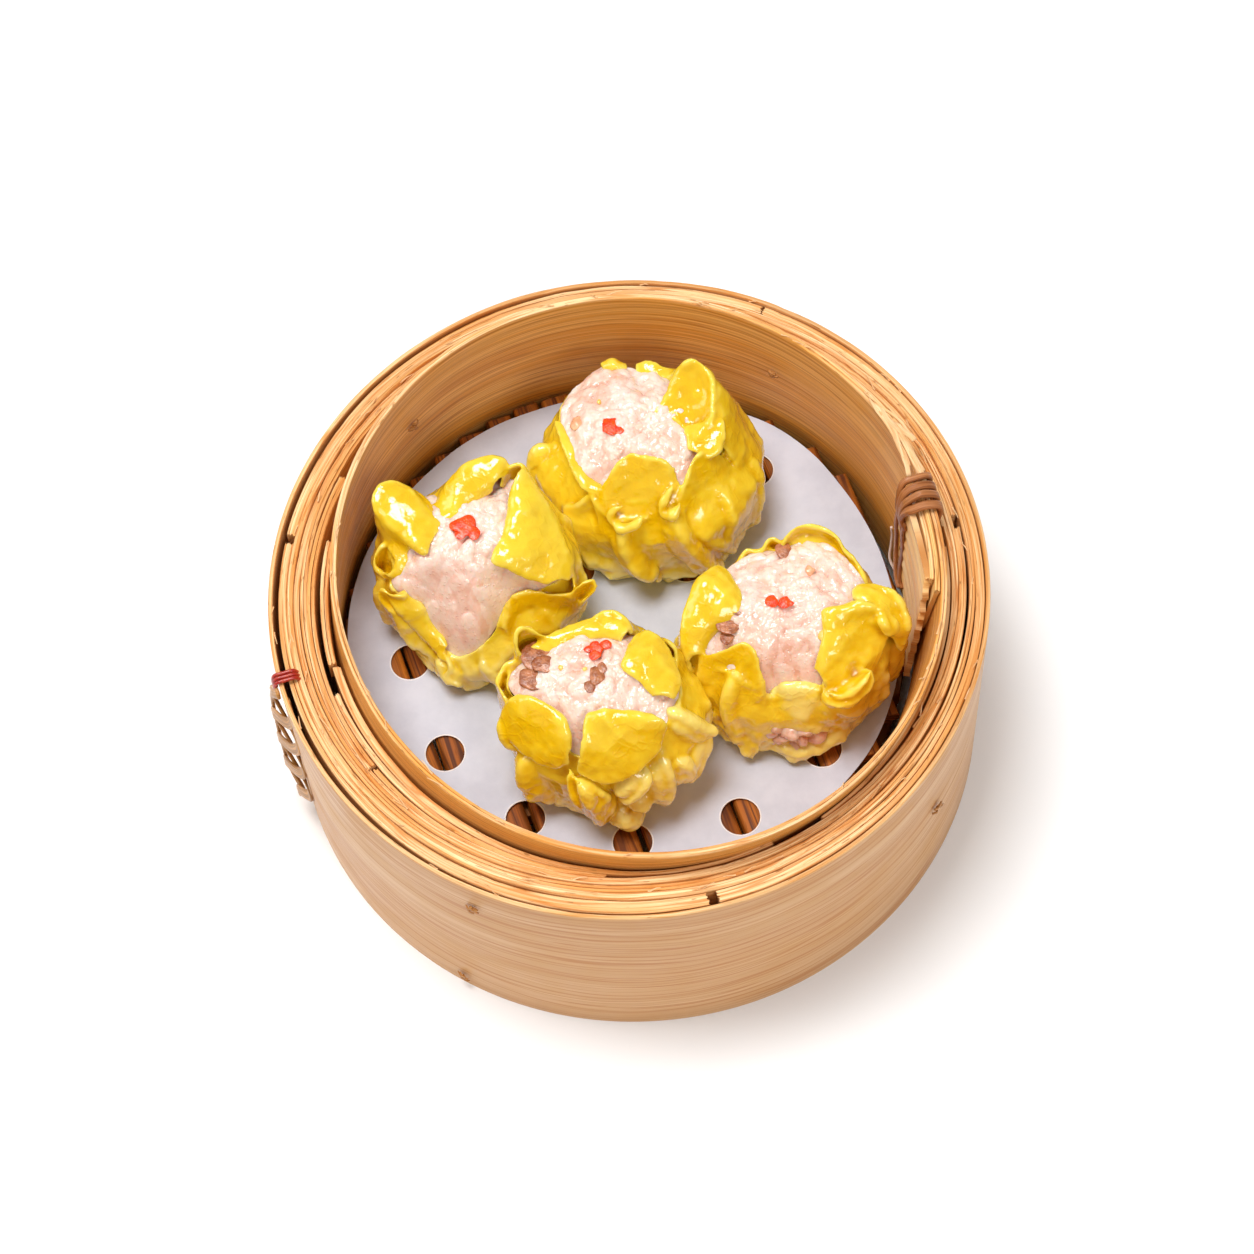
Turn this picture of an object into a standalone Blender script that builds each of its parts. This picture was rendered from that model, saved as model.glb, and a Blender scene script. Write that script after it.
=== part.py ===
"""Four siu mai standing on a pierced paper liner in a small bamboo steamer basket.

The basket is a thin outer wall packed with bent bamboo hoops around an inner ring. The ring
carries a floor of slats on two cross ribs. Each siu mai is a pleated wrapper, open at the
top, around a plug of minced filling. Metres, +Z up, origin at the centre of the basket's foot.
"""

import math

import bmesh
import bpy
from mathutils import Vector

MM = 0.001
GAP = 0.3 * MM

# ---------------------------------------------------------------- basket: driving dimensions
SIDES = 60
WALL_RADIUS = 75.0 * MM
WALL_THICKNESS = 1.0 * MM
WALL_HEIGHT = 57.5 * MM

# Hoops packed inside the wall: centre x, centre y, inner radius, thickness, top height.
PACKED_HOOPS = {
    "hoop_2": (0.25 * MM, 0.65 * MM, 69.75 * MM, 1.1 * MM, 57.2 * MM),
    "hoop_3": (0.50 * MM, 0.95 * MM, 68.2 * MM, 1.05 * MM, 56.7 * MM),
    "hoop_4": (0.80 * MM, 1.20 * MM, 66.65 * MM, 1.05 * MM, 57.0 * MM),
}
OUTER_HOOP_CENTRE = (0.05 * MM, 0.35 * MM)
OUTER_HOOP_INNER_RADIUS = 71.45 * MM
OUTER_HOOP_THICKNESS = 1.9 * MM
OUTER_HOOP_HEIGHT = 57.0 * MM
# The outer hoop is three strips that meet end to end: start and end angle of each, degrees.
OUTER_HOOP_STRIPS = {
    "hoop_1_front": (-193.0, -81.5),
    "hoop_1_right": (-79.8, 62.0),
    "hoop_1_back": (62.5, 165.4),
}

# Packing strips wedged between the hoops and the inner ring on the left side: start and end
# angle, inner radius, thickness, bottom, top.
PACKING_CENTRE = (0.8 * MM, 1.2 * MM)
PACKING_STRIPS = {
    "packing_strip_outer": (152.0, 216.0, 65.2 * MM, 1.1 * MM, 48.0 * MM, 57.4 * MM),
    "packing_strip_inner": (168.0, 204.0, 63.8 * MM, 1.1 * MM, 52.0 * MM, 57.9 * MM),
}

# Inner ring sections, bottom to top: height, centre x, centre y, inner radius, ovality.
RING_SECTIONS = (
    (14.0 * MM, -1.9 * MM, 4.2 * MM, 61.1 * MM, 0.0),
    (30.0 * MM, -1.7 * MM, 4.0 * MM, 61.1 * MM, 0.0),
    (64.6 * MM, 2.25 * MM, 0.8 * MM, 63.3 * MM, -0.031),
)
RING_OVAL_ANGLE = 22.0
RING_THICKNESS = 1.3 * MM

FLOOR_HEIGHT = 30.0 * MM
PAPER_THICKNESS = 0.3 * MM
SLAT_THICKNESS = 3.0 * MM
SLAT_PITCH = 6.8 * MM
SLAT_WIDTH = 5.7 * MM
SLAT_COUNT = 17
SLAT_TURN = -75.0
FIRST_SLAT = -57.3 * MM
EDGE_SLAT_WIDTH = 3.4 * MM
RIB_SPACING = 52.0 * MM
RIB_WIDTH = 6.0 * MM
RIB_THICKNESS = 5.0 * MM
LEDGE_THICKNESS = 3.0 * MM
LEDGE_BOTTOM = 15.0 * MM
LEDGE_ARCS = 4
LEDGE_ARC_SPAN = 84.0

PAPER_CENTRE = (-1.9 * MM, 3.4 * MM)
PAPER_RADIUS = 58.9 * MM
# Corners that stand out from the paper's round edge: angle, bulge, half width in degrees.
PAPER_CORNERS = ((49.0, 1.6 * MM, 13.0), (-25.0, 1.0 * MM, 16.0), (165.0, 0.7 * MM, 16.0))
PAPER_HOLE_RADIUS = 4.3 * MM
PAPER_HOLE_SIDES = 10
# Two circles of punched holes: radius and the angles of the holes.
HOLE_CENTRE = (0.4 * MM, 2.0 * MM)
OUTER_HOLES = (48.4 * MM, [-177.5 + 27.7 * k for k in range(7)] + [52.5, 84.0, 158.0])
INNER_HOLES = (20.5 * MM, [52.0 + 72.0 * k for k in range(5)])

# ---------------------------------------------------------------- siu mai: driving dimensions
AROUND = 36
STAND = FLOOR_HEIGHT + GAP
SKIN = 1.4 * MM
SKIN_FOOT = 1.2 * MM
FILLING_GAP = 0.7 * MM
# Outer profile of a wrapper: share of the rim's height, share of the belly's radius.
PROFILE = ((0.0, 0.84), (0.12, 0.94), (0.35, 0.99), (0.65, 0.97), (0.86, 0.88), (1.0, 0.77))
BELLY_SHARE = 0.35
SHOULDER = 0.86
# Pleats: depth as a share of the belly, how far they lean round with height, and a second
# smaller wave with more pleats.
PLEAT_DEPTH = 0.028
PLEAT_TWIST = 1.4
SECOND_WAVE = 0.45
SECOND_WAVE_EXTRA_PLEATS = 4
FOOT_SHARE = 0.1
FOOT_INSET = 1.5
DOME_SHARES = (0.9, 0.62, 0.3)
DOME_SLOPE = 0.5

# Each siu mai: centre, belly radius, rim height, top of the filling, pleats, pleat phase,
# flaps (angle, half width in degrees, rise, fold inwards) and the sides pressed by a
# neighbour (angle, half width in degrees, depth).
SIU_MAI = {
    "back": {
        "centre": (6.0 * MM, 35.0 * MM),
        "belly": 23.6 * MM,
        "rim": 28.5 * MM,
        "crown": 32.5 * MM,
        "crown_shift": (0.0, 1.0 * MM),
        "pleats": 7,
        "phase": 0.4,
        "flaps": ((48.0, 22.0, 8.0 * MM, 3.5 * MM), (-75.0, 36.0, 4.5 * MM, 6.5 * MM),
                  (-12.0, 24.0, 1.5 * MM, 4.5 * MM), (170.0, 30.0, 2.0 * MM, 1.0 * MM)),
        "presses": ((210.0, 34.0, 2.6 * MM),),
    },
    "left": {
        "centre": (-32.0 * MM, 13.0 * MM),
        "belly": 22.6 * MM,
        "rim": 25.5 * MM,
        "crown": 28.5 * MM,
        "crown_shift": (0.5 * MM, -1.0 * MM),
        "pleats": 6,
        "phase": 1.3,
        "flaps": ((118.0, 26.0, 7.0 * MM, 2.5 * MM), (158.0, 20.0, 5.5 * MM, 2.0 * MM),
                  (50.0, 24.0, 8.0 * MM, 4.0 * MM), (-20.0, 26.0, 0.0, 4.5 * MM),
                  (-82.0, 40.0, -5.0 * MM, 0.5 * MM)),
        "presses": ((30.0, 34.0, 1.6 * MM), (-54.5, 26.0, 1.2 * MM)),
    },
    "front": {
        "centre": (-7.0 * MM, -22.0 * MM),
        "belly": 21.8 * MM,
        "rim": 27.0 * MM,
        "crown": 31.0 * MM,
        "crown_shift": (-0.5 * MM, 0.0),
        "pleats": 8,
        "phase": 2.2,
        "flaps": ((140.0, 16.0, 5.0 * MM, 1.0 * MM), (40.0, 26.0, 3.0 * MM, 5.0 * MM),
                  (-60.0, 28.0, -1.0 * MM, 4.5 * MM), (-150.0, 30.0, 0.0, 3.5 * MM)),
        "presses": ((125.5, 26.0, 1.2 * MM), (16.0, 34.0, 2.6 * MM)),
    },
    "right": {
        "centre": (33.0 * MM, -10.5 * MM),
        "belly": 23.0 * MM,
        "rim": 27.5 * MM,
        "crown": 31.5 * MM,
        "crown_shift": (0.0, 0.5 * MM),
        "pleats": 7,
        "phase": 0.0,
        "flaps": ((75.0, 32.0, 5.5 * MM, 1.0 * MM), (5.0, 30.0, 3.5 * MM, 5.0 * MM),
                  (172.0, 30.0, 4.0 * MM, 3.5 * MM), (-128.0, 26.0, 1.0 * MM, 4.5 * MM),
                  (-72.0, 20.0, -8.0 * MM, -1.0 * MM)),
        "presses": ((196.0, 34.0, 2.6 * MM), (-2.0, 30.0, 1.6 * MM)),
    },
}

# ---------------------------------------------------------------- cane and wire
LASHING_ANGLES = (8.0, 10.7, 13.4)
LASHING_WIDTH = 2.5 * MM
LASHING_THICKNESS = 1.0 * MM
LASHING_CLEARANCE = 0.5 * MM
LASHING_INSIDE_BOTTOM = 48.0 * MM
LASHING_OUTSIDE_BOTTOM = 58.2 * MM
LASHING_BEND = 0.4
TAIL_RADIUS = 0.8 * MM
# Route of the tail down the ring's inner face: angle, height, distance inwards from the face.
TAIL_ROUTE = ((9.6, 46.5 * MM, 1.9 * MM), (9.0, 42.0 * MM, 1.6 * MM), (7.8, 38.0 * MM, 1.9 * MM),
              (6.4, 34.5 * MM, 2.2 * MM), (4.6, 31.6 * MM, 2.0 * MM))
LAP_START = 2.6
LAP_END = -13.0
LAP_BOTTOM = 31.0 * MM
LAP_TOP = 63.6 * MM
LAP_THICKNESS = 0.9 * MM
LAP_LIFT = 2.6 * MM
LAP_NARROWING = 0.25
LAP_LEAN = 2.5
LAP_CURVE = 1.5
LAP_STEPS = 6
LACING_ANGLE = -162.5
LACING_HALF_WIDTH = 4.2 * MM
LACING_THICKNESS = 1.8 * MM
LACING_BOTTOM = 8.0 * MM
LACING_TOP = 55.0 * MM
LACING_LEVELS = 8
LACING_COLUMNS = (-1.0, -0.45, 0.45, 1.0)
LACING_TIP_WIDTH = 0.12
WIRE_RADIUS = 0.7 * MM
WIRE_REACH = 3.5 * MM
WIRE_START = LACING_TOP + 0.8 * MM
STITCH_SIZE = (4.2 * MM, 1.0 * MM, 2.6 * MM)
STITCH_BEVEL = 0.35 * MM
# Stitches of cane: angle, height, on the ring's inner face or on the wall's outer face.
STITCHES = {
    "stitch_inside_left": (135.0, 50.3 * MM, "ring"),
    "stitch_inside_right": (56.4, 49.4 * MM, "ring"),
    "stitch_front_high": (-119.2, 48.6 * MM, "wall"),
    "stitch_front_low": (-123.9, 5.1 * MM, "wall"),
    "stitch_right": (-37.4, 33.3 * MM, "wall"),
}


def clear_scene():
    """Remove the objects that a new file opens with."""
    for obj in list(bpy.data.objects):
        bpy.data.objects.remove(obj, do_unlink=True)


def make_material(name, colour, roughness):
    """One Principled material in the part's own colour."""
    material = bpy.data.materials.new(name)
    material.use_nodes = True
    shader = material.node_tree.nodes["Principled BSDF"]
    shader.inputs["Base Color"].default_value = (*colour, 1.0)
    shader.inputs["Roughness"].default_value = roughness
    shader.inputs["Metallic"].default_value = 0.0
    material.diffuse_color = (*colour, 1.0)
    return material


def polar(radius, degrees, centre=(0.0, 0.0)):
    """Point on a circle in the plane."""
    turn = math.radians(degrees)
    return centre[0] + radius * math.cos(turn), centre[1] + radius * math.sin(turn)


def bump(angle, centre, half_width):
    """Smooth hump around an angle in degrees: 1 at its centre, 0 beyond twice its half width."""
    away = abs((angle - centre + 180.0) % 360.0 - 180.0) / (2.0 * half_width)
    if away >= 1.0:
        return 0.0
    return 0.5 + 0.5 * math.cos(math.pi * away)


class Builder:
    """Places named objects in the model's collection under one empty."""

    def __init__(self):
        self.collection = bpy.data.collections.new("siu_mai_in_steamer")
        bpy.context.scene.collection.children.link(self.collection)
        self.base = bpy.data.objects.new("steamer_base", None)
        self.collection.objects.link(self.base)

    def add(self, name, data, material, location=(0.0, 0.0, 0.0), turn=0.0):
        """Wrap mesh or curve data in an object, place it and give it its material."""
        obj = bpy.data.objects.new(name, data)
        obj.location = location
        obj.rotation_euler = (0.0, 0.0, turn)
        obj.parent = self.base
        data.materials.append(material)
        self.collection.objects.link(obj)
        return obj


def flat_outline(name, loops, height):
    """2D curve filled between its loops and thickened to a height, centred on its plane."""
    curve = bpy.data.curves.new(name, "CURVE")
    curve.dimensions = "2D"
    curve.fill_mode = "BOTH"
    curve.extrude = height / 2.0
    for loop in loops:
        spline = curve.splines.new("POLY")
        spline.points.add(len(loop) - 1)
        for point, (x, y) in zip(spline.points, loop):
            point.co = (x, y, 0.0, 1.0)
        spline.use_cyclic_u = True
    return curve


def circle_loop(radius, centre, sides=SIDES, start=0.0):
    """Closed loop of points on a circle."""
    return [polar(radius, start + 360.0 * k / sides, centre) for k in range(sides)]


def arc_loop(inner, outer, start, end, centre):
    """Closed loop around a bent strip between two angles."""
    step = 360.0 / SIDES
    between = range(math.floor(start / step) + 1, math.ceil(end / step))
    angles = [start] + [k * step for k in between] + [end]
    out = [polar(outer, angle, centre) for angle in angles]
    back = [polar(inner, angle, centre) for angle in reversed(angles)]
    return out + back


def closed_mesh(name, rows):
    """Close a tube of equal rows of points with a fan at each end."""
    bm = bmesh.new()
    rings = [[bm.verts.new(point) for point in row] for row in rows]
    count = len(rows[0])
    for low, high in zip(rings, rings[1:]):
        for k in range(count):
            after = (k + 1) % count
            bm.faces.new((low[k], low[after], high[after], high[k]))
    for ring, reverse in ((rings[0], True), (rings[-1], False)):
        centre = bm.verts.new(sum((v.co for v in ring), Vector()) / count)
        for k in range(count):
            corners = (ring[k], ring[(k + 1) % count], centre)
            bm.faces.new(corners[::-1] if reverse else corners)
    bmesh.ops.recalc_face_normals(bm, faces=bm.faces)
    mesh = bpy.data.meshes.new(name)
    bm.to_mesh(mesh)
    bm.free()
    mesh.shade_smooth()
    return mesh


def sheet_mesh(name, columns):
    """Open sheet of quads through columns of points, to be thickened by Solidify."""
    bm = bmesh.new()
    grid = [[bm.verts.new(point) for point in column] for column in columns]
    for left, right in zip(grid, grid[1:]):
        for k in range(len(left) - 1):
            bm.faces.new((left[k], right[k], right[k + 1], left[k + 1]))
    mesh = bpy.data.meshes.new(name)
    bm.to_mesh(mesh)
    bm.free()
    return mesh


def solidify(obj, thickness, offset):
    """Give a sheet its thickness."""
    modifier = obj.modifiers.new("thickness", "SOLIDIFY")
    modifier.thickness = thickness
    modifier.offset = offset


# ---------------------------------------------------------------- basket
def ring_section(height):
    """Centre, radius and ovality of the inner ring's inner face at a height."""
    low, high = RING_SECTIONS[0], RING_SECTIONS[1]
    if height > high[0]:
        low, high = RING_SECTIONS[1], RING_SECTIONS[2]
    share = min(1.0, max(0.0, (height - low[0]) / (high[0] - low[0])))
    return [a + share * (b - a) for a, b in zip(low[1:], high[1:])]


def ring_point(degrees, height, outwards=0.0):
    """Point on the inner ring's inner face, or a distance outside it."""
    x, y, radius, ovality = ring_section(height)
    oval = 1.0 + ovality * math.cos(2.0 * math.radians(degrees - RING_OVAL_ANGLE))
    px, py = polar(radius * oval + outwards, degrees, (x, y))
    return px, py, height


def add_wall_and_hoops(build, pale, strip):
    """Outer wall, the outer hoop's three strips and the hoops packed inside it."""
    loops = [circle_loop(WALL_RADIUS, (0.0, 0.0)),
             circle_loop(WALL_RADIUS - WALL_THICKNESS, (0.0, 0.0))]
    wall = flat_outline("outer_wall", loops, WALL_HEIGHT)
    build.add("outer_wall", wall, pale, (0.0, 0.0, WALL_HEIGHT / 2.0))
    outer = OUTER_HOOP_INNER_RADIUS + OUTER_HOOP_THICKNESS
    for name, (start, end) in OUTER_HOOP_STRIPS.items():
        loop = arc_loop(OUTER_HOOP_INNER_RADIUS, outer, start, end, OUTER_HOOP_CENTRE)
        curve = flat_outline(name, [loop], OUTER_HOOP_HEIGHT)
        build.add(name, curve, strip, (0.0, 0.0, OUTER_HOOP_HEIGHT / 2.0))
    for name, (x, y, inner, thickness, height) in PACKED_HOOPS.items():
        loops = [circle_loop(inner + thickness, (x, y)), circle_loop(inner, (x, y))]
        curve = flat_outline(name, loops, height)
        build.add(name, curve, strip, (0.0, 0.0, height / 2.0))
    for name, (start, end, inner, thickness, low, high) in PACKING_STRIPS.items():
        loop = arc_loop(inner, inner + thickness, start, end, PACKING_CENTRE)
        curve = flat_outline(name, [loop], high - low)
        build.add(name, curve, strip, (0.0, 0.0, (low + high) / 2.0))


def add_inner_ring(build, material):
    """Leaning, slightly oval ring that holds the floor, lofted through its sections."""
    bm = bmesh.new()
    loops = []
    heights = [section[0] for section in RING_SECTIONS]
    for outwards, order in ((RING_THICKNESS, heights), (0.0, heights[::-1])):
        for height in order:
            points = [ring_point(360.0 * k / SIDES, height, outwards) for k in range(SIDES)]
            loops.append([bm.verts.new(point) for point in points])
    for low, high in zip(loops, loops[1:] + loops[:1]):
        for k in range(SIDES):
            after = (k + 1) % SIDES
            bm.faces.new((low[k], low[after], high[after], high[k]))
    bmesh.ops.recalc_face_normals(bm, faces=bm.faces)
    mesh = bpy.data.meshes.new("inner_ring")
    bm.to_mesh(mesh)
    bm.free()
    mesh.shade_smooth()
    mesh.set_sharp_from_angle(angle=math.radians(40.0))
    build.add("inner_ring", mesh, material)


def chord_end(offset, reach, radius, centre, turn):
    """Where a line at an offset from a turned axis meets a circle, on the side of reach."""
    along = Vector((math.cos(turn), math.sin(turn)))
    across = Vector((-math.sin(turn), math.cos(turn)))
    middle = Vector(centre)
    start = across * offset
    side = (start - middle).dot(across)
    half = math.sqrt(max(0.0, radius * radius - side * side))
    foot = middle + across * side
    return foot + along * half * reach


def bar_outline(offset, width, radius, centre, turn):
    """Four corners of a bar that spans a circle."""
    edges = (offset - width / 2.0, offset + width / 2.0)
    corners = [chord_end(edges[0], reach, radius, centre, turn) for reach in (-1.0, 1.0)]
    corners += [chord_end(edges[1], reach, radius, centre, turn) for reach in (1.0, -1.0)]
    return [(corner.x, corner.y) for corner in corners]


def add_floor(build, brown):
    """Slats over two cross ribs that rest on a ledge of four bent strips inside the ring."""
    x, y, inner, _ = ring_section(FLOOR_HEIGHT)
    reach = inner * math.cos(math.pi / SIDES) - GAP
    turn = math.radians(SLAT_TURN)
    slat_top = FLOOR_HEIGHT - PAPER_THICKNESS - GAP
    slat_bottom = slat_top - SLAT_THICKNESS
    slats = [(FIRST_SLAT + k * SLAT_PITCH, SLAT_WIDTH) for k in range(SLAT_COUNT)]
    edge = slats[-1][0] + (SLAT_PITCH + EDGE_SLAT_WIDTH) / 2.0
    slats.append((edge, EDGE_SLAT_WIDTH))
    for k, (offset, width) in enumerate(slats):
        loop = bar_outline(offset, width, reach, (x, y), turn)
        name = f"slat_{k + 1:02d}"
        slat = flat_outline(name, [loop], SLAT_THICKNESS)
        build.add(name, slat, brown, (0.0, 0.0, slat_top - SLAT_THICKNESS / 2.0))
    rib_top = slat_bottom - GAP
    for name, side in (("cross_rib_near", -1.0), ("cross_rib_far", 1.0)):
        loop = bar_outline(side * RIB_SPACING / 2.0, RIB_WIDTH, reach, (x, y),
                           turn + math.pi / 2.0)
        rib = flat_outline(name, [loop], RIB_THICKNESS)
        build.add(name, rib, brown, (0.0, 0.0, rib_top - RIB_THICKNESS / 2.0))
    ledge_top = rib_top - RIB_THICKNESS - GAP
    x, y, inner, _ = ring_section(LEDGE_BOTTOM)
    outer = inner - 2.0 * GAP
    for k in range(LEDGE_ARCS):
        start = 360.0 * k / LEDGE_ARCS
        loop = arc_loop(outer - LEDGE_THICKNESS, outer, start, start + LEDGE_ARC_SPAN, (x, y))
        name = f"ledge_{k + 1}"
        ledge = flat_outline(name, [loop], ledge_top - LEDGE_BOTTOM)
        build.add(name, ledge, brown, (0.0, 0.0, (ledge_top + LEDGE_BOTTOM) / 2.0))


def add_paper(build, material):
    """Round liner with a few blunt corners and two circles of holes."""
    edge = []
    for k in range(SIDES):
        angle = 360.0 * k / SIDES
        bulge = sum(size * bump(angle, at, half) for at, size, half in PAPER_CORNERS)
        edge.append(polar(PAPER_RADIUS + bulge, angle, PAPER_CENTRE))
    loops = [edge]
    for radius, angles in (OUTER_HOLES, INNER_HOLES):
        for angle in angles:
            centre = polar(radius, angle, HOLE_CENTRE)
            loops.append(circle_loop(PAPER_HOLE_RADIUS, centre, PAPER_HOLE_SIDES))
    paper = flat_outline("paper_liner", loops, PAPER_THICKNESS)
    build.add("paper_liner", paper, material, (0.0, 0.0, FLOOR_HEIGHT - PAPER_THICKNESS / 2.0))


# ---------------------------------------------------------------- siu mai
def rim_height(spec, angle):
    """Height of the wrapper's edge above its foot."""
    return spec["rim"] + sum(rise * bump(angle, at, half) for at, half, rise, _ in spec["flaps"])


def wrapper_radius(spec, angle, share):
    """Outer radius of the wrapper at a share of the rim's height."""
    for (low, r_low), (high, r_high) in zip(PROFILE, PROFILE[1:]):
        if share <= high:
            radius = r_low + (r_high - r_low) * (share - low) / (high - low)
            break
    radius *= spec["belly"]
    turn = math.radians(angle)
    wave = math.cos(spec["pleats"] * turn + spec["phase"] + PLEAT_TWIST * share)
    more_pleats = spec["pleats"] + SECOND_WAVE_EXTRA_PLEATS
    wave += SECOND_WAVE * math.cos(more_pleats * turn - spec["phase"])
    radius += wave * spec["belly"] * PLEAT_DEPTH * (BELLY_SHARE + share)
    for at, half, depth in spec["presses"]:
        radius -= depth * bump(angle, at, half)
    if share > SHOULDER:
        closing = (share - SHOULDER) / (1.0 - SHOULDER)
        radius -= closing * sum(fold * bump(angle, at, half)
                                for at, half, _, fold in spec["flaps"])
    return radius


def around_points(radius_of, height_of):
    """One ring of points around a siu mai's own axis."""
    ring = []
    for k in range(AROUND):
        angle = 360.0 * k / AROUND
        x, y = polar(radius_of(angle), angle)
        ring.append((x, y, height_of(angle)))
    return ring


def wrapper_mesh(name, spec):
    """Pleated cup: up the outside, over the rim and down the inside to the foot."""
    rows = []
    for share, _ in PROFILE:
        rows.append(around_points(lambda a: wrapper_radius(spec, a, share),
                                  lambda a: share * rim_height(spec, a)))
    for share in (1.0, SHOULDER, BELLY_SHARE):
        rows.append(around_points(lambda a: wrapper_radius(spec, a, share) - SKIN,
                                  lambda a: share * rim_height(spec, a)))
    rows.append(around_points(lambda a: wrapper_radius(spec, a, FOOT_SHARE) - FOOT_INSET * SKIN,
                              lambda a: SKIN_FOOT))
    return closed_mesh(name, rows)


def filling_mesh(name, spec):
    """Plug of filling inside the cup, with a dome that stays under the folded rim."""
    inset = SKIN + FILLING_GAP
    foot_inset = FOOT_INSET * (SKIN + FILLING_GAP)
    rows = [around_points(lambda a: wrapper_radius(spec, a, FOOT_SHARE) - foot_inset,
                          lambda a: SKIN_FOOT + FILLING_GAP)]
    for share in (BELLY_SHARE, SHOULDER):
        rows.append(around_points(lambda a: wrapper_radius(spec, a, share) - inset,
                                  lambda a: share * rim_height(spec, a)))

    def side_radius(angle):
        return wrapper_radius(spec, angle, SHOULDER) - inset

    def dome_height(angle, share):
        side = SHOULDER * rim_height(spec, angle)
        rise = 1.0 - share * share
        height = side + (spec["crown"] - side) * rise
        rim = wrapper_radius(spec, angle, 1.0) - SKIN
        radius = share * side_radius(angle)
        edge = rim_height(spec, angle) - 2.0 * FILLING_GAP
        if radius <= rim - FILLING_GAP:
            return min(height, edge + DOME_SLOPE * (rim - FILLING_GAP - radius))
        climb = (side_radius(angle) - radius) / max(side_radius(angle) - rim, FILLING_GAP)
        return min(height, side + climb * (edge - side) - FILLING_GAP)

    for share in DOME_SHARES:
        rows.append(around_points(lambda a: share * side_radius(a),
                                  lambda a: dome_height(a, share)))
    top = rows[-1]
    shift = spec["crown_shift"]
    rows[-1] = [(x + shift[0], y + shift[1], z) for x, y, z in top]
    return closed_mesh(name, rows)


def add_siu_mai(build, yellow, pink):
    """Four dumplings: a wrapper and its filling each."""
    for name, spec in SIU_MAI.items():
        place = (*spec["centre"], STAND)
        build.add(f"wrapper_{name}", wrapper_mesh(f"wrapper_{name}", spec), yellow, place)
        build.add(f"filling_{name}", filling_mesh(f"filling_{name}", spec), pink, place)


# ---------------------------------------------------------------- cane, lap and wire
def add_lashing(build, cane):
    """Turns of flat cane over the ring's edge, and the tail that hangs inside."""
    top = RING_SECTIONS[-1][0] + LASHING_CLEARANCE
    for k, angle in enumerate(LASHING_ANGLES):
        inside_low = Vector(ring_point(angle, LASHING_INSIDE_BOTTOM)[:2]).length
        inside_high = Vector(ring_point(angle, top)[:2]).length
        outside = inside_high + RING_THICKNESS + LASHING_CLEARANCE
        step = LASHING_CLEARANCE + LASHING_THICKNESS
        profile = [
            (inside_low - LASHING_CLEARANCE, LASHING_INSIDE_BOTTOM),
            (inside_high - LASHING_CLEARANCE, top),
            (outside, top),
            (outside, LASHING_OUTSIDE_BOTTOM),
            (outside + LASHING_THICKNESS, LASHING_OUTSIDE_BOTTOM),
            (outside + LASHING_THICKNESS, top + LASHING_BEND * LASHING_THICKNESS),
            (outside, top + LASHING_THICKNESS),
            (inside_high - LASHING_CLEARANCE, top + LASHING_THICKNESS),
            (inside_high - step, top + LASHING_BEND * LASHING_THICKNESS),
            (inside_low - step, LASHING_INSIDE_BOTTOM),
        ]
        turn_curve = flat_outline(f"lashing_turn_{k + 1}", [profile], LASHING_WIDTH)
        turn = build.add(f"lashing_turn_{k + 1}", turn_curve, cane)
        turn.rotation_euler = (math.pi / 2.0, 0.0, math.radians(angle))
    points = [ring_point(angle, height, -inwards) for angle, height, inwards in TAIL_ROUTE]
    build.add("lashing_tail", round_bar("lashing_tail", points, TAIL_RADIUS), cane)


def round_bar(name, points, radius):
    """Capped round bar along a list of points."""
    curve = bpy.data.curves.new(name, "CURVE")
    curve.dimensions = "3D"
    curve.bevel_depth = radius
    curve.bevel_resolution = 1
    curve.use_fill_caps = True
    spline = curve.splines.new("POLY")
    spline.points.add(len(points) - 1)
    for point, place in zip(spline.points, points):
        point.co = (*place, 1.0)
    return curve


def add_lap(build, material):
    """Loose end of the ring's inner ply, peeling away from the ring towards its edge."""
    columns = []
    for k in range(LAP_STEPS + 1):
        share = k / LAP_STEPS
        angle = LAP_START + (LAP_END - LAP_START) * share
        away = 2.0 * GAP + LAP_LIFT * share ** LAP_CURVE
        slope = 1.0 - LAP_NARROWING * share
        column = []
        for height in (LAP_BOTTOM, LAP_BOTTOM + (LAP_TOP - LAP_BOTTOM) * slope):
            column.append(ring_point(angle + LAP_LEAN * share * (height - LAP_TOP) / LAP_TOP,
                                     height, -away))
        columns.append(column)
    lap = build.add("inner_lap", sheet_mesh("inner_lap", columns), material)
    solidify(lap, LAP_THICKNESS, 1.0)


def add_side_lacing(build, cane, red):
    """Woven cane tab on the wall's outer face and the red wire over the rim above it."""
    radius = WALL_RADIUS + 1.5 * GAP
    columns = []
    for side in LACING_COLUMNS:
        column = []
        for k in range(LACING_LEVELS + 1):
            share = k / LACING_LEVELS
            rounding = math.sqrt(1.0 - (1.0 - share) ** 2)
            width = LACING_HALF_WIDTH * min(1.0, rounding + LACING_TIP_WIDTH)
            angle = LACING_ANGLE + math.degrees(side * width / radius)
            height = LACING_BOTTOM + (LACING_TOP - LACING_BOTTOM) * share
            column.append((*polar(radius, angle), height))
        columns.append(column)
    lacing = build.add("side_lacing", sheet_mesh("side_lacing", columns), cane)
    solidify(lacing, LACING_THICKNESS, 1.0)
    angle = LACING_ANGLE
    reach = WIRE_RADIUS + GAP
    route = ((WALL_RADIUS + reach, WIRE_START),
             (WALL_RADIUS + reach, WALL_HEIGHT + 0.6 * reach),
             (WALL_RADIUS, WALL_HEIGHT + reach),
             (WALL_RADIUS - WIRE_REACH, WALL_HEIGHT + reach))
    points = [(*polar(r, angle), height) for r, height in route]
    build.add("red_wire", round_bar("red_wire", points, WIRE_RADIUS), red)


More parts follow.
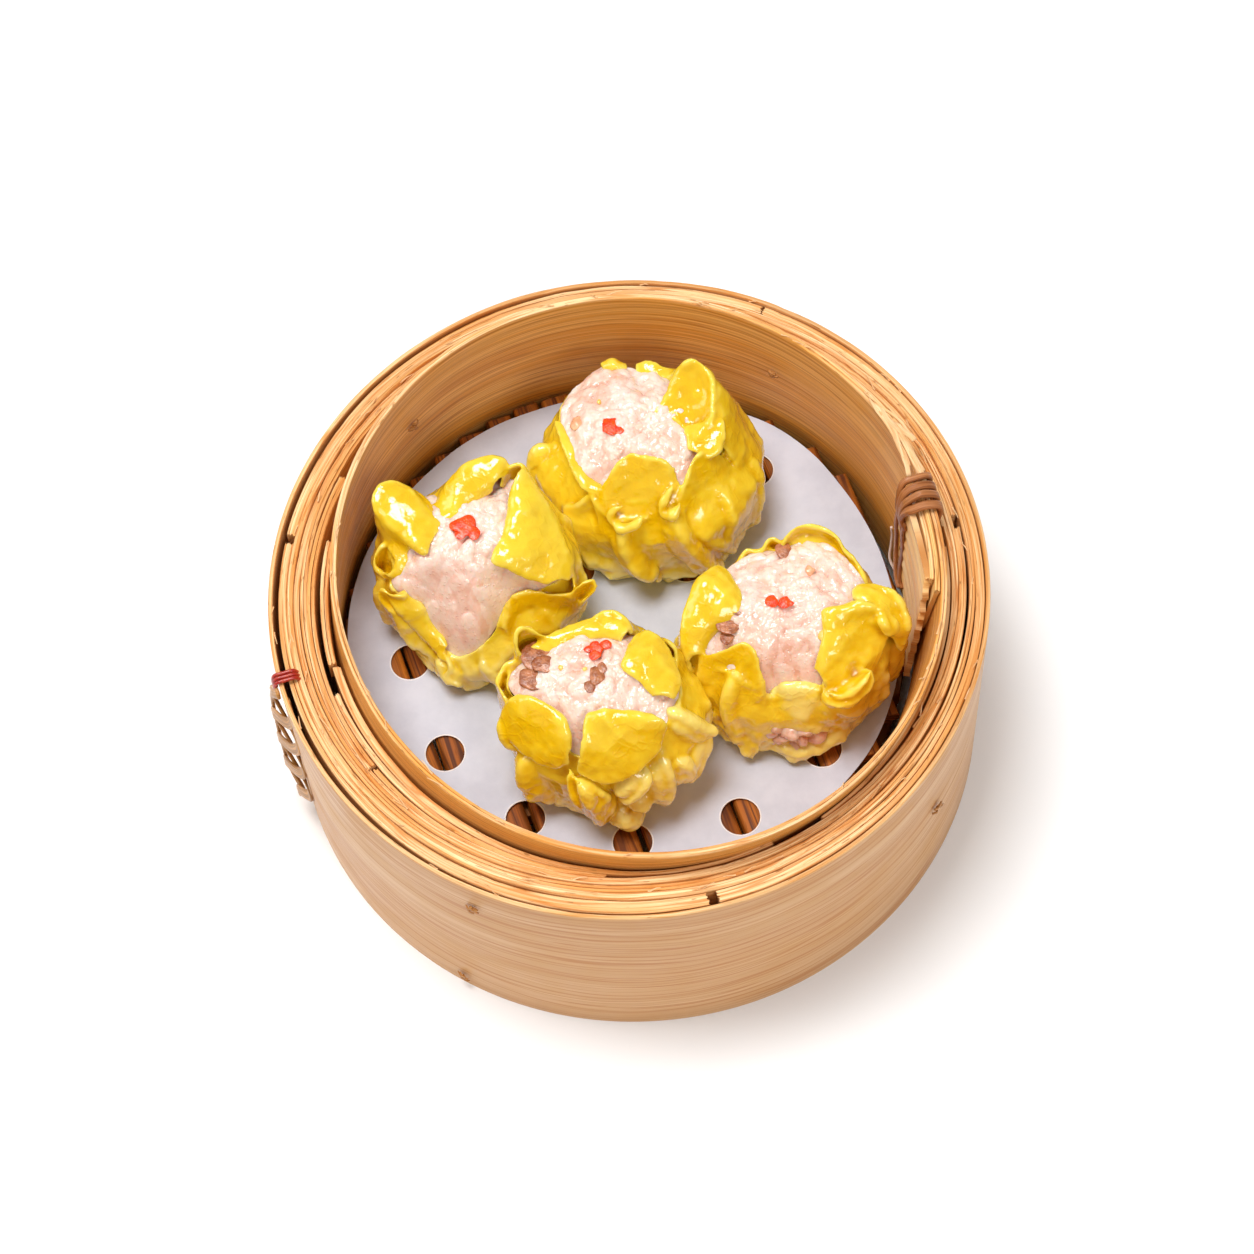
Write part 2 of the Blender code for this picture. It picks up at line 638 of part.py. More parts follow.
def add_stitches(build, cane):
    """Short stitches of cane that pin the bent strips together."""
    for name, (angle, height, face) in STITCHES.items():
        bpy.ops.mesh.primitive_cube_add(size=1.0)
        block = bpy.context.object
        mesh = block.data
        bpy.data.objects.remove(block, do_unlink=True)
        mesh.name = name
        for vertex in mesh.vertices:
            vertex.co = Vector([a * b for a, b in zip(vertex.co, STITCH_SIZE)])
        away = STITCH_SIZE[1] / 2.0 + 1.2 * GAP
        if face == "ring":
            place = ring_point(angle, height, -away - 0.2 * MM)
        else:
            place = (*polar(WALL_RADIUS + away, angle), height)
        stitch = build.add(name, mesh, cane, place, math.radians(angle + 90.0))
        bevel = stitch.modifiers.new("worn edges", "BEVEL")
        bevel.width = STITCH_BEVEL
        bevel.segments = 1


def main():
    clear_scene()
    pale = make_material("pale_bamboo", (0.72, 0.50, 0.29), 0.55)
    strip = make_material("split_bamboo", (0.76, 0.50, 0.24), 0.6)
    warm = make_material("warm_bamboo", (0.62, 0.36, 0.15), 0.5)
    brown = make_material("steamed_bamboo", (0.27, 0.10, 0.03), 0.55)
    white = make_material("liner_paper", (0.72, 0.70, 0.71), 0.8)
    yellow = make_material("egg_wrapper", (0.87, 0.60, 0.06), 0.3)
    pink = make_material("minced_filling", (0.86, 0.62, 0.52), 0.35)
    cane = make_material("brown_cane", (0.36, 0.17, 0.07), 0.5)
    red = make_material("red_wire", (0.35, 0.03, 0.02), 0.35)
    build = Builder()
    add_wall_and_hoops(build, pale, strip)
    add_inner_ring(build, warm)
    add_floor(build, brown)
    add_paper(build, white)
    add_siu_mai(build, yellow, pink)
    add_lashing(build, cane)
    add_lap(build, warm)
    add_side_lacing(build, cane, red)
    add_stitches(build, cane)


main()
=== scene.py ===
"""Four siu mai on a pierced paper liner in a small bamboo steamer basket.

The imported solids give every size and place. Around them this builds the bent bamboo strips,
the folded egg wrappers, the minced filling and its toppings, the liner, the slats, the cane
lashing and the woven tab, with their materials, a pale floor, soft light and the camera.
"""

import math

import bmesh
import bpy
import numpy as np
from mathutils import Matrix, Vector
from mathutils.kdtree import KDTree


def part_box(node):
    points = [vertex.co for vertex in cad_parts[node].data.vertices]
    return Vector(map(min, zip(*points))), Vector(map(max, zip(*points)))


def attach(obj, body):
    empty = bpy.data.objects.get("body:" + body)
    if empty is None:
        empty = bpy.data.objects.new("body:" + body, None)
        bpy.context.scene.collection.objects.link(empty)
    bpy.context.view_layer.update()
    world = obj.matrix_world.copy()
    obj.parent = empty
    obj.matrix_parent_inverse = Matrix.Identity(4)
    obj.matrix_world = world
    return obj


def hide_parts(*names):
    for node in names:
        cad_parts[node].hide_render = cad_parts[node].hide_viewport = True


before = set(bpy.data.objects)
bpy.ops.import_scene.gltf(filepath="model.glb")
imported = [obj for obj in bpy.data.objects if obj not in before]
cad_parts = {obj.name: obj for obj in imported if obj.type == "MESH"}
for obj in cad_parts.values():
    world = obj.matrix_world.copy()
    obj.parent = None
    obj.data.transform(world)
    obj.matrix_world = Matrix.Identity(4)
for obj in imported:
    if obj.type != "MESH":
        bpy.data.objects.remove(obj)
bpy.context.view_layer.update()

MM = 0.001
BODY = "root"
FULL_TURN = 360.0


# ---------------------------------------------------------------- noise and small maths
NOISE_CELLS = 32
noise_tables = {}


def noise(points, size, seed):
    """Smooth noise from -1 to 1 at each point; size is one blob's width, one number or three."""
    if seed not in noise_tables:
        draw = np.random.default_rng(seed)
        noise_tables[seed] = draw.uniform(-1.0, 1.0, (NOISE_CELLS,) * 3)
    table = noise_tables[seed]
    scaled = np.asarray(points, float) / np.asarray(size, float)
    cell = np.floor(scaled).astype(int)
    share = scaled - cell
    share = share * share * (3.0 - 2.0 * share)
    total = np.zeros(scaled.shape[:-1])
    for corner in range(8):
        step = np.array([corner & 1, corner >> 1 & 1, corner >> 2 & 1])
        weight = np.prod(np.where(step, share, 1.0 - share), axis=-1)
        spot = (cell + step) % NOISE_CELLS
        total += weight * table[spot[..., 0], spot[..., 1], spot[..., 2]]
    return total


def smooth_step(values, low, high):
    """0 below low, 1 above high, a smooth ramp between."""
    share = np.clip((np.asarray(values, float) - low) / (high - low), 0.0, 1.0)
    return share * share * (3.0 - 2.0 * share)


def hump(angles, centre, half_width):
    """Smooth hump round an angle in degrees: 1 at its centre, 0 beyond twice its half width."""
    share = np.clip(np.abs(angle_away(angles, centre)) / (2.0 * half_width), 0.0, 1.0)
    return 0.5 + 0.5 * np.cos(np.pi * share)


def polar(radius, degrees, centre=(0.0, 0.0)):
    """Points on circles in the plane, as arrays of x and y."""
    turn = np.radians(degrees)
    return centre[0] + radius * np.cos(turn), centre[1] + radius * np.sin(turn)


def on_circle(radius, degrees, heights=0.0, centre=(0.0, 0.0)):
    """Points on circles at some heights."""
    x, y = polar(radius, degrees, centre)
    return np.stack([x, y, heights + 0 * x], -1)


def angle_away(angles, centre):
    """How far angles lie from a centre, from -180 to 180 degrees."""
    return (np.asarray(angles, float) - centre + 180.0) % FULL_TURN - 180.0


def unit(vectors, spare=0.0):
    """Vectors brought to length one; spare keeps the shortest from blowing up."""
    return vectors / (np.linalg.norm(vectors, axis=-1)[..., None] + spare)


def catmull(points, count):
    """Smooth open curve with a number of points, through the given points."""
    points = np.asarray(points, float)
    padded = np.vstack([2 * points[0] - points[1], points, 2 * points[-1] - points[-2]])
    where = np.linspace(0.0, len(points) - 1.0, count)
    left = np.minimum(where.astype(int), len(points) - 2)
    t = (where - left)[:, None]
    p0, p1, p2, p3 = (padded[left + k] for k in range(4))
    return 0.5 * (2 * p1 + (p2 - p0) * t + (2 * p0 - 5 * p1 + 4 * p2 - p3) * t ** 2
                  + (3 * p1 - p0 - 3 * p2 + p3) * t ** 3)


def around(keys, angles, soften=5):
    """Values keyed by angle, joined smoothly all the way round."""
    keys = sorted((key[0] % FULL_TURN, *key[1:]) for key in keys)
    at = [key[0] for key in keys]
    fine = np.arange(0.0, FULL_TURN, 1.0)
    out = []
    for column in range(1, len(keys[0])):
        line = np.interp(fine, at, [key[column] for key in keys], period=FULL_TURN)
        kernel = np.hanning(2 * soften + 1)
        kernel /= kernel.sum()
        wrapped = np.concatenate([line[-soften:], line, line[:soften]])
        line = np.convolve(wrapped, kernel, mode="valid")
        out.append(np.interp(np.asarray(angles) % FULL_TURN, fine, line, period=FULL_TURN))
    return out


# ---------------------------------------------------------------- mesh helpers
def mesh_object(name, points, faces, smooth=True):
    """Object at the origin from points and faces."""
    mesh = bpy.data.meshes.new(name)
    mesh.from_pydata([tuple(p) for p in np.asarray(points, float).tolist()], [], faces)
    mesh.validate()
    if smooth:
        mesh.shade_smooth()
    obj = bpy.data.objects.new(name, mesh)
    bpy.context.scene.collection.objects.link(obj)
    return obj


def grid_faces(rows, columns, wrap_rows=False, wrap_columns=False):
    """Quads over a grid of points laid out row by row."""
    faces = []
    for i in range(rows if wrap_rows else rows - 1):
        for j in range(columns if wrap_columns else columns - 1):
            i2, j2 = (i + 1) % rows, (j + 1) % columns
            faces.append((i * columns + j, i * columns + j2, i2 * columns + j2, i2 * columns + j))
    return faces


def set_attribute(obj, name, values, kind="FLOAT"):
    """Numbers or vectors kept at the mesh's points, for its material."""
    attribute = obj.data.attributes.new(name, kind, "POINT")
    field = "vector" if kind == "FLOAT_VECTOR" else "value"
    attribute.data.foreach_set(field, np.asarray(values, np.float32).ravel())


def read_numbers(items, field, width, kind=float):
    """One field of a mesh's points or edges as rows of numbers."""
    flat = np.empty(len(items) * width, kind)
    items.foreach_get(field, flat)
    return flat.reshape(-1, width)


def points_of(obj):
    """The mesh's points as an array."""
    return read_numbers(obj.data.vertices, "co", 3)


def normals_of(obj):
    """The mesh's point normals as an array."""
    return read_numbers(obj.data.vertices, "normal", 3, np.float32).astype(float)


def edges_of(obj):
    """The mesh's edges as pairs of point numbers."""
    return read_numbers(obj.data.edges, "vertices", 2, np.int32)


def move_points(obj, points):
    """Give the mesh new places for its points."""
    obj.data.vertices.foreach_set("co", np.asarray(points, np.float32).ravel())
    obj.data.update()


def outward(obj):
    """Turn the faces of a closed mesh outwards."""
    bm = bmesh.new()
    bm.from_mesh(obj.data)
    bmesh.ops.recalc_face_normals(bm, faces=bm.faces)
    bm.to_mesh(obj.data)
    bm.free()
    return obj


def bake_modifiers(obj):
    """The object with its modifiers' result as its plain mesh."""
    graph = bpy.context.evaluated_depsgraph_get()
    mesh = bpy.data.meshes.new_from_object(obj.evaluated_get(graph))
    old = obj.data
    obj.modifiers.clear()
    obj.data = mesh
    if old.users == 0:
        bpy.data.meshes.remove(old)
    mesh.name = obj.name
    return obj


def join(name, parts):
    """One object from several, at the origin."""
    bm = bmesh.new()
    for part in parts:
        bm.from_mesh(part.data)
    mesh = bpy.data.meshes.new(name)
    bm.to_mesh(mesh)
    bm.free()
    for part in parts:
        bpy.data.objects.remove(part, do_unlink=True)
    mesh.shade_smooth()
    obj = bpy.data.objects.new(name, mesh)
    bpy.context.scene.collection.objects.link(obj)
    return obj


def finish_piece(obj, material, nodes=()):
    """Give a piece its material, its body and the solids that it stands for."""
    obj.data.materials.clear()
    obj.data.materials.append(material)
    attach(obj, BODY)
    if nodes:
        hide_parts(*nodes)
    return obj


def closed_body(name, grid, poles=None, loop=False):
    """Closed skin over rings of points: drawn to two poles, joined in a loop, or capped flat."""
    rows, columns = grid.shape[:2]
    points = grid.reshape(-1, 3)
    faces = grid_faces(rows, columns, wrap_rows=loop, wrap_columns=True)
    base = (rows - 1) * columns
    if poles is not None:
        points = np.vstack([points, poles])
        first, last = rows * columns, rows * columns + 1
        faces += [(first, (j + 1) % columns, j) for j in range(columns)]
        faces += [(last, base + j, base + (j + 1) % columns) for j in range(columns)]
    elif not loop:
        faces += [tuple(range(columns))[::-1], tuple(base + j for j in range(columns))]
    return outward(mesh_object(name, points, faces)), points


def run_along(points):
    """Distance run at each point of a line."""
    return np.concatenate([[0.0], np.cumsum(np.linalg.norm(np.diff(points, axis=0), axis=1))])


def tube(name, points, radii, sides=10):
    """Closed round tube along points."""
    points = np.asarray(points, float)
    radii = np.broadcast_to(np.asarray(radii, float), (len(points),))
    ahead = unit(np.gradient(points, axis=0))
    upright = abs(ahead[0, 2]) > 0.9
    lean = np.array([1.0, 0.0, 0.0] if upright else [0.0, 0.0, 1.0])
    side = unit(np.cross(ahead, lean), 1e-12)
    rise = np.cross(side, ahead)
    turn = np.linspace(0.0, 2.0 * np.pi, sides, endpoint=False)
    ring = (np.cos(turn)[None, :, None] * side[:, None]
            + np.sin(turn)[None, :, None] * rise[:, None])
    obj, _ = closed_body(name, points[:, None] + radii[:, None, None] * ring, points[[0, -1]])
    along = run_along(points)
    grain = np.zeros((len(points) * sides + 2, 3))
    grain[:-2, 0] = np.repeat(along, sides)
    grain[:-2, 2] = np.tile(radii.mean() * turn, len(points))
    grain[-2:, 0] = along[[0, -1]]
    set_attribute(obj, "grain", grain, "FLOAT_VECTOR")
    return obj


# ---------------------------------------------------------------- node helpers
class Nodes:
    """Short words for adding and joining nodes in one tree."""

    def __init__(self, tree):
        self.tree = tree

    def add(self, kind, values=None, **settings):
        node = self.tree.nodes.new(kind)
        for key, value in settings.items():
            setattr(node, key, value)
        for key, value in (values or {}).items():
            self.put(node.inputs[key], value)
        return node

    def put(self, target, value):
        if isinstance(value, bpy.types.NodeSocket):
            self.tree.links.new(value, target)
        else:
            target.default_value = value

    def math(self, operation, *values):
        node = self.add("ShaderNodeMath", dict(enumerate(values)), operation=operation)
        return node.outputs[0]

    def times(self, *values):
        return self.math("MULTIPLY", *values)

    def plus(self, *values):
        return self.math("ADD", *values)

    def less(self, *values):
        return self.math("SUBTRACT", *values)

    def mix(self, factor, a, b):
        node = self.add("ShaderNodeMix", {0: factor}, data_type="RGBA")
        self.put(node.inputs[6], a)
        self.put(node.inputs[7], b)
        return node.outputs[2]

    def ramp(self, value, low, high, to_low=0.0, to_high=1.0):
        values = dict(enumerate((value, low, high, to_low, to_high)))
        return self.add("ShaderNodeMapRange", values, interpolation_type="SMOOTHSTEP").outputs[0]

    def noise(self, vector, detail=2.0, roughness=0.55, distortion=0.0):
        return self.add("ShaderNodeTexNoise", {
            "Vector": vector, "Scale": 1.0, "Detail": detail, "Roughness": roughness,
            "Distortion": distortion}).outputs["Fac"]

    def stretch(self, vector, x, z=None):
        size = (x, x, x if z is None else z)
        return self.add("ShaderNodeVectorMath", {0: vector, 1: size},
                        operation="MULTIPLY").outputs[0]

    def place(self):
        return self.add("ShaderNodeTexCoord").outputs["Object"]

    def kept(self, name, output="Fac"):
        return self.add("ShaderNodeAttribute", attribute_name=name).outputs[output]

    def wet(self, blotch, dimple, bead):
        values = {"Vector": self.place(), "Blotch Size": blotch, "Dimple Size": dimple,
                  "Bead Size": bead}
        outputs = self.add("ShaderNodeGroup", values, node_tree=wet_group).outputs
        return (outputs[name] for name in WET_OUTPUTS)

    def fibres(self, vector, pale, mid, dark, **grain):
        values = {"Vector": vector, "Pale": rgb(*pale), "Mid": rgb(*mid), "Dark": rgb(*dark)}
        values.update((key.replace("_", " "), value) for key, value in grain.items())
        return self.add("ShaderNodeGroup", values, node_tree=grain_group).outputs


def rgb(red, green, blue):
    """Colour with full alpha."""
    return (red, green, blue, 1.0)


def start_group(name, numbers, colours, outputs, kind="Shader"):
    """Node group with named sockets: a vector or a geometry, numbers, colours and its outputs."""
    group = bpy.data.node_groups.new(name, f"{kind}NodeTree")
    first = "Vector" if kind == "Shader" else "Geometry"
    sockets = [(first, first, None, "INPUT")]
    sockets += [(label, "Float", number, "INPUT") for label, number in numbers.items()]
    sockets += [(label, "Color", rgb(0.5, 0.5, 0.5), "INPUT") for label in colours]
    sockets += [(label, shape, None, "OUTPUT") for label, shape in outputs]
    for label, shape, default, way in sockets:
        made = group.interface.new_socket(name=label, in_out=way,
                                          socket_type=f"NodeSocket{shape}")
        if default is not None:
            made.default_value = default
    n = Nodes(group)
    return group, n, n.add("NodeGroupInput").outputs


def bamboo_grain_group():
    """Long fibres: two colours of streak, dark pores, and a height for the bump."""
    group, n, data = start_group(
        "bamboo grain", {"Fibre Width": 0.4, "Fibre Length": 30.0, "Streaks": 0.5, "Lines": 0.4,
                         "Waves": 0.3, "Pores": 0.3, "Stain": 0.3}, ("Pale", "Mid", "Dark"),
        (("Color", "Color"), ("Height", "Float"), ("Wear", "Float")))
    millimetres = n.stretch(data["Vector"], 1000.0)
    drift = n.noise(n.stretch(millimetres, 0.03))
    sway = n.times(n.less(drift, 0.5), data["Waves"])
    along = n.math("DIVIDE", 1.0, data["Fibre Length"])
    x, y, z = n.add("ShaderNodeSeparateXYZ", {0: millimetres}).outputs
    across = n.math("DIVIDE", n.plus(z, sway), data["Fibre Width"])
    spot = n.add("ShaderNodeCombineXYZ", {0: n.times(x, along), 1: n.times(y, along),
                                          2: across}).outputs[0]
    fibres = n.noise(spot, 4.0, 0.6)
    broad = n.noise(n.stretch(spot, 0.7, 0.22), 2.0, 0.5)
    lines = n.noise(n.stretch(spot, 0.8, 0.42), 1.0, 0.5)
    line = n.ramp(n.math("ABSOLUTE", n.less(lines, 0.5)), 0.005, 0.06, 1.0, 0.0)
    faint = n.ramp(n.math("ABSOLUTE", n.less(fibres, 0.5)), 0.0, 0.04, 1.0, 0.0)
    line = n.math("MAXIMUM", line, n.times(faint, 0.45))
    pore = n.times(n.ramp(n.noise(n.stretch(spot, 9.0, 1.1), 1.0), 0.66, 0.74), data["Pores"])
    stain = n.noise(n.stretch(millimetres, 0.06, 0.09), 3.0)
    colour = n.mix(n.ramp(broad, 0.35, 0.68), data["Pale"], data["Mid"])
    colour = n.mix(n.times(n.ramp(fibres, 0.42, 0.72), data["Streaks"]), colour, data["Dark"])
    colour = n.mix(n.times(line, data["Lines"]), colour, data["Dark"])
    colour = n.mix(pore, colour, n.mix(0.5, data["Dark"], rgb(0.05, 0.015, 0.004)))
    colour = n.mix(n.times(n.ramp(stain, 0.45, 0.75), data["Stain"]), colour, data["Mid"])
    height = n.plus(n.times(fibres, 0.7), n.times(line, -0.35))
    n.add("NodeGroupOutput", {"Color": colour, "Height": n.less(height, n.times(pore, 0.6)),
                              "Wear": n.ramp(stain, 0.4, 0.8)})
    return group


WET_OUTPUTS = ("Blotch", "Dimples", "Beads", "Net")


def wet_skin_group():
    """Wet food surface: slow mottling, small dimples, beads of moisture and a fine crackle."""
    group, n, data = start_group(
        "wet surface", {"Blotch Size": 5.0, "Dimple Size": 0.8, "Bead Size": 0.9}, (),
        [(label, "Float") for label in WET_OUTPUTS])
    millimetres = n.stretch(data["Vector"], 1000.0)

    def at_size(size):
        values = {0: millimetres, "Scale": n.math("DIVIDE", 1.0, size)}
        return n.add("ShaderNodeVectorMath", values, operation="SCALE").outputs[0]

    def cells(size, **settings):
        return n.add("ShaderNodeTexVoronoi", {"Vector": at_size(size), "Scale": 1.0},
                     **settings).outputs["Distance"]

    blotch = n.noise(at_size(data["Blotch Size"]), 3.0, 0.6)
    net = cells(n.times(data["Bead Size"], 1.7), feature="DISTANCE_TO_EDGE")
    n.add("NodeGroupOutput", {
        "Blotch": blotch, "Dimples": n.noise(at_size(data["Dimple Size"]), 2.0, 0.5, 0.4),
        "Beads": n.ramp(cells(data["Bead Size"]), 0.05, 0.34, 1.0, 0.0),
        "Net": n.times(n.ramp(net, 0.0, 0.13, 1.0, 0.0), n.ramp(blotch, 0.45, 0.58))})
    return group


# ---------------------------------------------------------------- materials
def new_material(name, roughness, **numbers):
    """Principled material with plain numbers on its sockets; gives the shader and the nodes."""
    material = bpy.data.materials.new(name)
    material.use_nodes = True
    shader = material.node_tree.nodes["Principled BSDF"]
    shader.inputs["Roughness"].default_value = roughness
    for key, value in numbers.items():
        shader.inputs[key.replace("_", " ")].default_value = value
    return material, shader, Nodes(material.node_tree)


def dress(n, shader, colour, roughness, height, strength, depth):
    """Send a colour, a roughness and a bump to the shader; depth is in millimetres."""
    n.put(shader.inputs["Base Color"], colour)
    n.put(shader.inputs["Roughness"], roughness)
    node = n.add("ShaderNodeBump", {"Height": height, "Strength": strength,
                                    "Distance": depth * MM})
    n.put(shader.inputs["Normal"], node.outputs[0])


def bamboo_material(name, pale, mid, dark, edges=None, roughness=0.5, strength=0.35, **grain):
    """Bamboo or cane in three colours; edges are the pale and dark colours of its cut edges."""
    material, shader, n = new_material(name, roughness, Specular_IOR_Level=0.25)
    vector = n.kept("grain", "Vector")
    face = n.fibres(vector, pale, mid, dark, **grain)
    colour = face["Color"]
    if edges:
        edge = n.fibres(vector, edges[0], mid, edges[1], Fibre_Width=0.34, Fibre_Length=30.0,
                        Streaks=0.8, Lines=0.8, Waves=0.5, Pores=0.75, Stain=0.25)
        colour = n.mix(n.kept("cut"), colour, edge["Color"])
    gloss = n.math("MULTIPLY_ADD", face["Wear"], 0.18, roughness - 0.08)
    dress(n, shader, colour, gloss, face["Height"], strength, 0.25)
    return material


def hidden_material():
    """Steamed bamboo for the ribs and the ledge, with grain read from where the piece is."""
    material, shader, n = new_material("rib_bamboo", 0.5, Specular_IOR_Level=0.15)
    turned = n.add("ShaderNodeMapping", {"Vector": n.place(), "Rotation": (0, 0, -SLAT_TURN)})
    face = n.fibres(turned.outputs[0], (0.42, 0.16, 0.04), (0.28, 0.09, 0.02),
                    (0.12, 0.03, 0.006), Fibre_Width=0.7, Fibre_Length=25.0)
    gloss = n.math("MULTIPLY_ADD", face["Wear"], 0.15, 0.42)
    dress(n, shader, face["Color"], gloss, face["Height"], 0.3, 0.25)
    return material


def food_material(name, scatter, depth, radius, coat, coat_roughness, roughness=0.16, **numbers):
    """Wet food under a thin coat; depth and radius say how far light spreads in it."""
    material, shader, n = new_material(
        name, roughness, Subsurface_Weight=scatter, Subsurface_Scale=depth, Coat_Weight=coat,
        Coat_Roughness=coat_roughness, **numbers)
    if radius:
        shader.inputs["Subsurface Radius"].default_value = radius
    return material, shader, n


def wrapper_material():
    """Steamed egg wrapper: glossy deep yellow above, thin and pale where it is stretched; painted
    shade darkens its creases and a painted highlight lightens its bulges.
    """
    material, shader, n = food_material("egg_wrapper", 0.25, 0.0016, (1.0, 0.75, 0.2), 0.45, 0.05,
                                        IOR=1.5)
    blotch, dimples, _, net = n.wet(7.0, 1.6, 1.6)
    # How far the surface sinks below its neighbours: painted shade in the creases, painted
    # highlight on the bulges.
    tone, crease_shade_bulge_highlight = n.kept("tone"), n.kept("crease_shade_bulge_highlight")
    shade = n.plus(tone, n.times(n.less(blotch, 0.5), 0.7))
    # Painted shade: the creases pull the colour towards deep yellow.
    shade = n.plus(shade, n.times(crease_shade_bulge_highlight, 1.1))
    colour = n.mix(n.ramp(shade, 0.0, 0.5), rgb(0.91, 0.75, 0.20), rgb(0.87, 0.62, 0.03))
    colour = n.mix(n.ramp(shade, 0.45, 1.0), colour, rgb(0.80, 0.48, 0.001))
    # Painted shade: dark amber in the deepest creases.
    colour = n.mix(n.ramp(crease_shade_bulge_highlight, 0.08, 0.5), colour, rgb(0.56, 0.24, 0.002))
    # Painted highlight: pale yellow on the bulges.
    colour = n.mix(n.ramp(crease_shade_bulge_highlight, -0.4, -0.06, 0.45, 0.0), colour, rgb(0.93, 0.74, 0.14))
    height = n.plus(n.times(dimples, 0.6), n.times(net, 0.24))
    dress(n, shader, colour, n.math("MULTIPLY_ADD", dimples, 0.12, 0.06), height, 0.5, 0.45)
    return material


def filling_material():
    """Minced pork and prawn: pale pink, whiter lumps of fat, deeper pink in painted shade between
    the shreds, wet.
    """
    material, shader, n = food_material("minced_filling", 0.4, 0.003, (1.0, 0.45, 0.3), 0.8, 0.06,
                                        IOR=1.5)
    blotch, dimples, beads, _ = n.wet(3.2, 1.0, 0.9)
    shade = n.plus(n.kept("tone"), n.times(n.less(blotch, 0.5), 1.1))
    colour = n.mix(n.ramp(shade, 0.1, 0.5), rgb(0.92, 0.70, 0.59), rgb(0.88, 0.57, 0.45))
    # Deepest pink: the filling's own darker bits together with painted shade in the low gaps
    # between shreds.
    colour = n.mix(n.ramp(shade, 0.55, 1.0), colour, rgb(0.76, 0.38, 0.26))
    height = n.plus(n.times(dimples, 0.5), n.times(beads, 0.35))
    dress(n, shader, colour, n.math("MULTIPLY_ADD", dimples, 0.15, 0.05), height, 0.7, 0.4)
    return material


def topping_material(name, pale, deep, roughness=0.22):
    """A wet scrap of vegetable or mushroom in two colours."""
    material, shader, n = food_material(name, 0.12, 0.001, None, 0.15, 0.08, roughness)
    blotch, dimples, _, _ = n.wet(1.6, 0.45, 0.6)
    dress(n, shader, n.mix(n.ramp(blotch, 0.35, 0.65), rgb(*pale), rgb(*deep)),
          n.math("MULTIPLY_ADD", dimples, 0.2, roughness - 0.05), dimples, 0.6, 0.25)
    return material


def paper_material():
    """Greaseproof paper: cool pale grey, faintly mottled, damp in places."""
    material, shader, n = new_material("liner_paper", 0.6)
    blotch, dimples, _, _ = n.wet(7.0, 0.5, 1.6)
    colour = n.mix(n.ramp(blotch, 0.3, 0.7), rgb(0.60, 0.62, 0.71), rgb(0.53, 0.55, 0.64))
    colour = n.mix(n.times(dimples, 0.25), colour, rgb(0.68, 0.69, 0.75))
    height = n.plus(n.times(blotch, 0.8), n.times(dimples, 0.15))
    dress(n, shader, colour, n.math("MULTIPLY_ADD", blotch, 0.3, 0.42), height, 0.35, 0.4)
    return material


def fine_material(name, scale, first, second, strength, roughness, spread=None, gloss=None,
                  **numbers):
    """Two close colours mottled by fine noise; scale is in blobs to the metre."""
    material, shader, n = new_material(name, roughness, **numbers)
    wear = n.noise(n.stretch(n.place(), scale))
    share = n.ramp(wear, *spread) if spread else wear
    gloss = n.ramp(wear, 0.3, 0.8, *gloss) if gloss else roughness
    dress(n, shader, n.mix(share, rgb(*first), rgb(*second)), gloss, wear, strength, 0.1)
    return material


SLAT_TURN = math.radians(-75.0)
grain_group = bamboo_grain_group()
wet_group = wet_skin_group()

CUT_EDGES = ((1.0, 0.72, 0.40), (0.62, 0.22, 0.035))
CANE_GRAIN = {"Fibre_Length": 14.0, "Streaks": 0.7, "Waves": 0.3, "Pores": 0.2, "Stain": 0.5}
WALL = bamboo_material("pale_bamboo", (0.70, 0.42, 0.20), (0.62, 0.33, 0.13), (0.50, 0.18, 0.03),
                       ((0.98, 0.66, 0.32), (0.65, 0.26, 0.05)), 0.42, 0.15, Fibre_Width=0.75,
                       Fibre_Length=75.0, Streaks=0.3, Lines=0.85, Waves=3.0, Pores=0.05)
STRIP = bamboo_material("split_bamboo", (0.88, 0.55, 0.25), (0.80, 0.40, 0.12),
                        (0.50, 0.18, 0.035), ((1.0, 0.72, 0.38), (0.62, 0.21, 0.03)),
                        Fibre_Length=26.0, Streaks=0.6, Waves=0.8, Pores=0.4)
RING = bamboo_material("warm_bamboo", (0.95, 0.52, 0.15), (0.84, 0.38, 0.07),
                       (0.46, 0.14, 0.012), CUT_EDGES, 0.42, 0.2, Fibre_Width=0.42,
                       Fibre_Length=70.0, Streaks=0.7, Lines=0.6, Waves=1.0, Pores=0.08)
LAP = bamboo_material("lap_bamboo", (1.0, 0.72, 0.34), (0.94, 0.56, 0.20), (0.62, 0.26, 0.05),
                      ((1.0, 0.72, 0.40), (0.48, 0.16, 0.02)), 0.42, 0.2, Fibre_Width=0.7,
                      Fibre_Length=60.0, Streaks=0.25, Lines=0.2, Waves=1.0, Pores=0.08)
SLAT = bamboo_material("steamed_bamboo", (0.50, 0.15, 0.012), (0.33, 0.085, 0.006),
                       (0.07, 0.014, 0.001), roughness=0.6, Fibre_Width=1.1, Fibre_Length=40.0,
                       Streaks=0.8, Lines=0.9, Waves=1.0, Pores=0.4, Stain=0.5)
CANE = bamboo_material("brown_cane", (0.56, 0.23, 0.085), (0.38, 0.125, 0.035),
                       (0.11, 0.026, 0.005), roughness=0.34, Fibre_Width=0.28, **CANE_GRAIN)
TAB_CANE = bamboo_material("tab_cane", (0.70, 0.36, 0.13), (0.44, 0.19, 0.035),
                           (0.16, 0.05, 0.010), roughness=0.36, Fibre_Width=0.3, **CANE_GRAIN)
SLIVER = bamboo_material("sliver_bamboo", (0.95, 0.66, 0.36), (0.84, 0.48, 0.20),
                         (0.55, 0.22, 0.06), roughness=0.45, Fibre_Width=0.3, Fibre_Length=12.0)
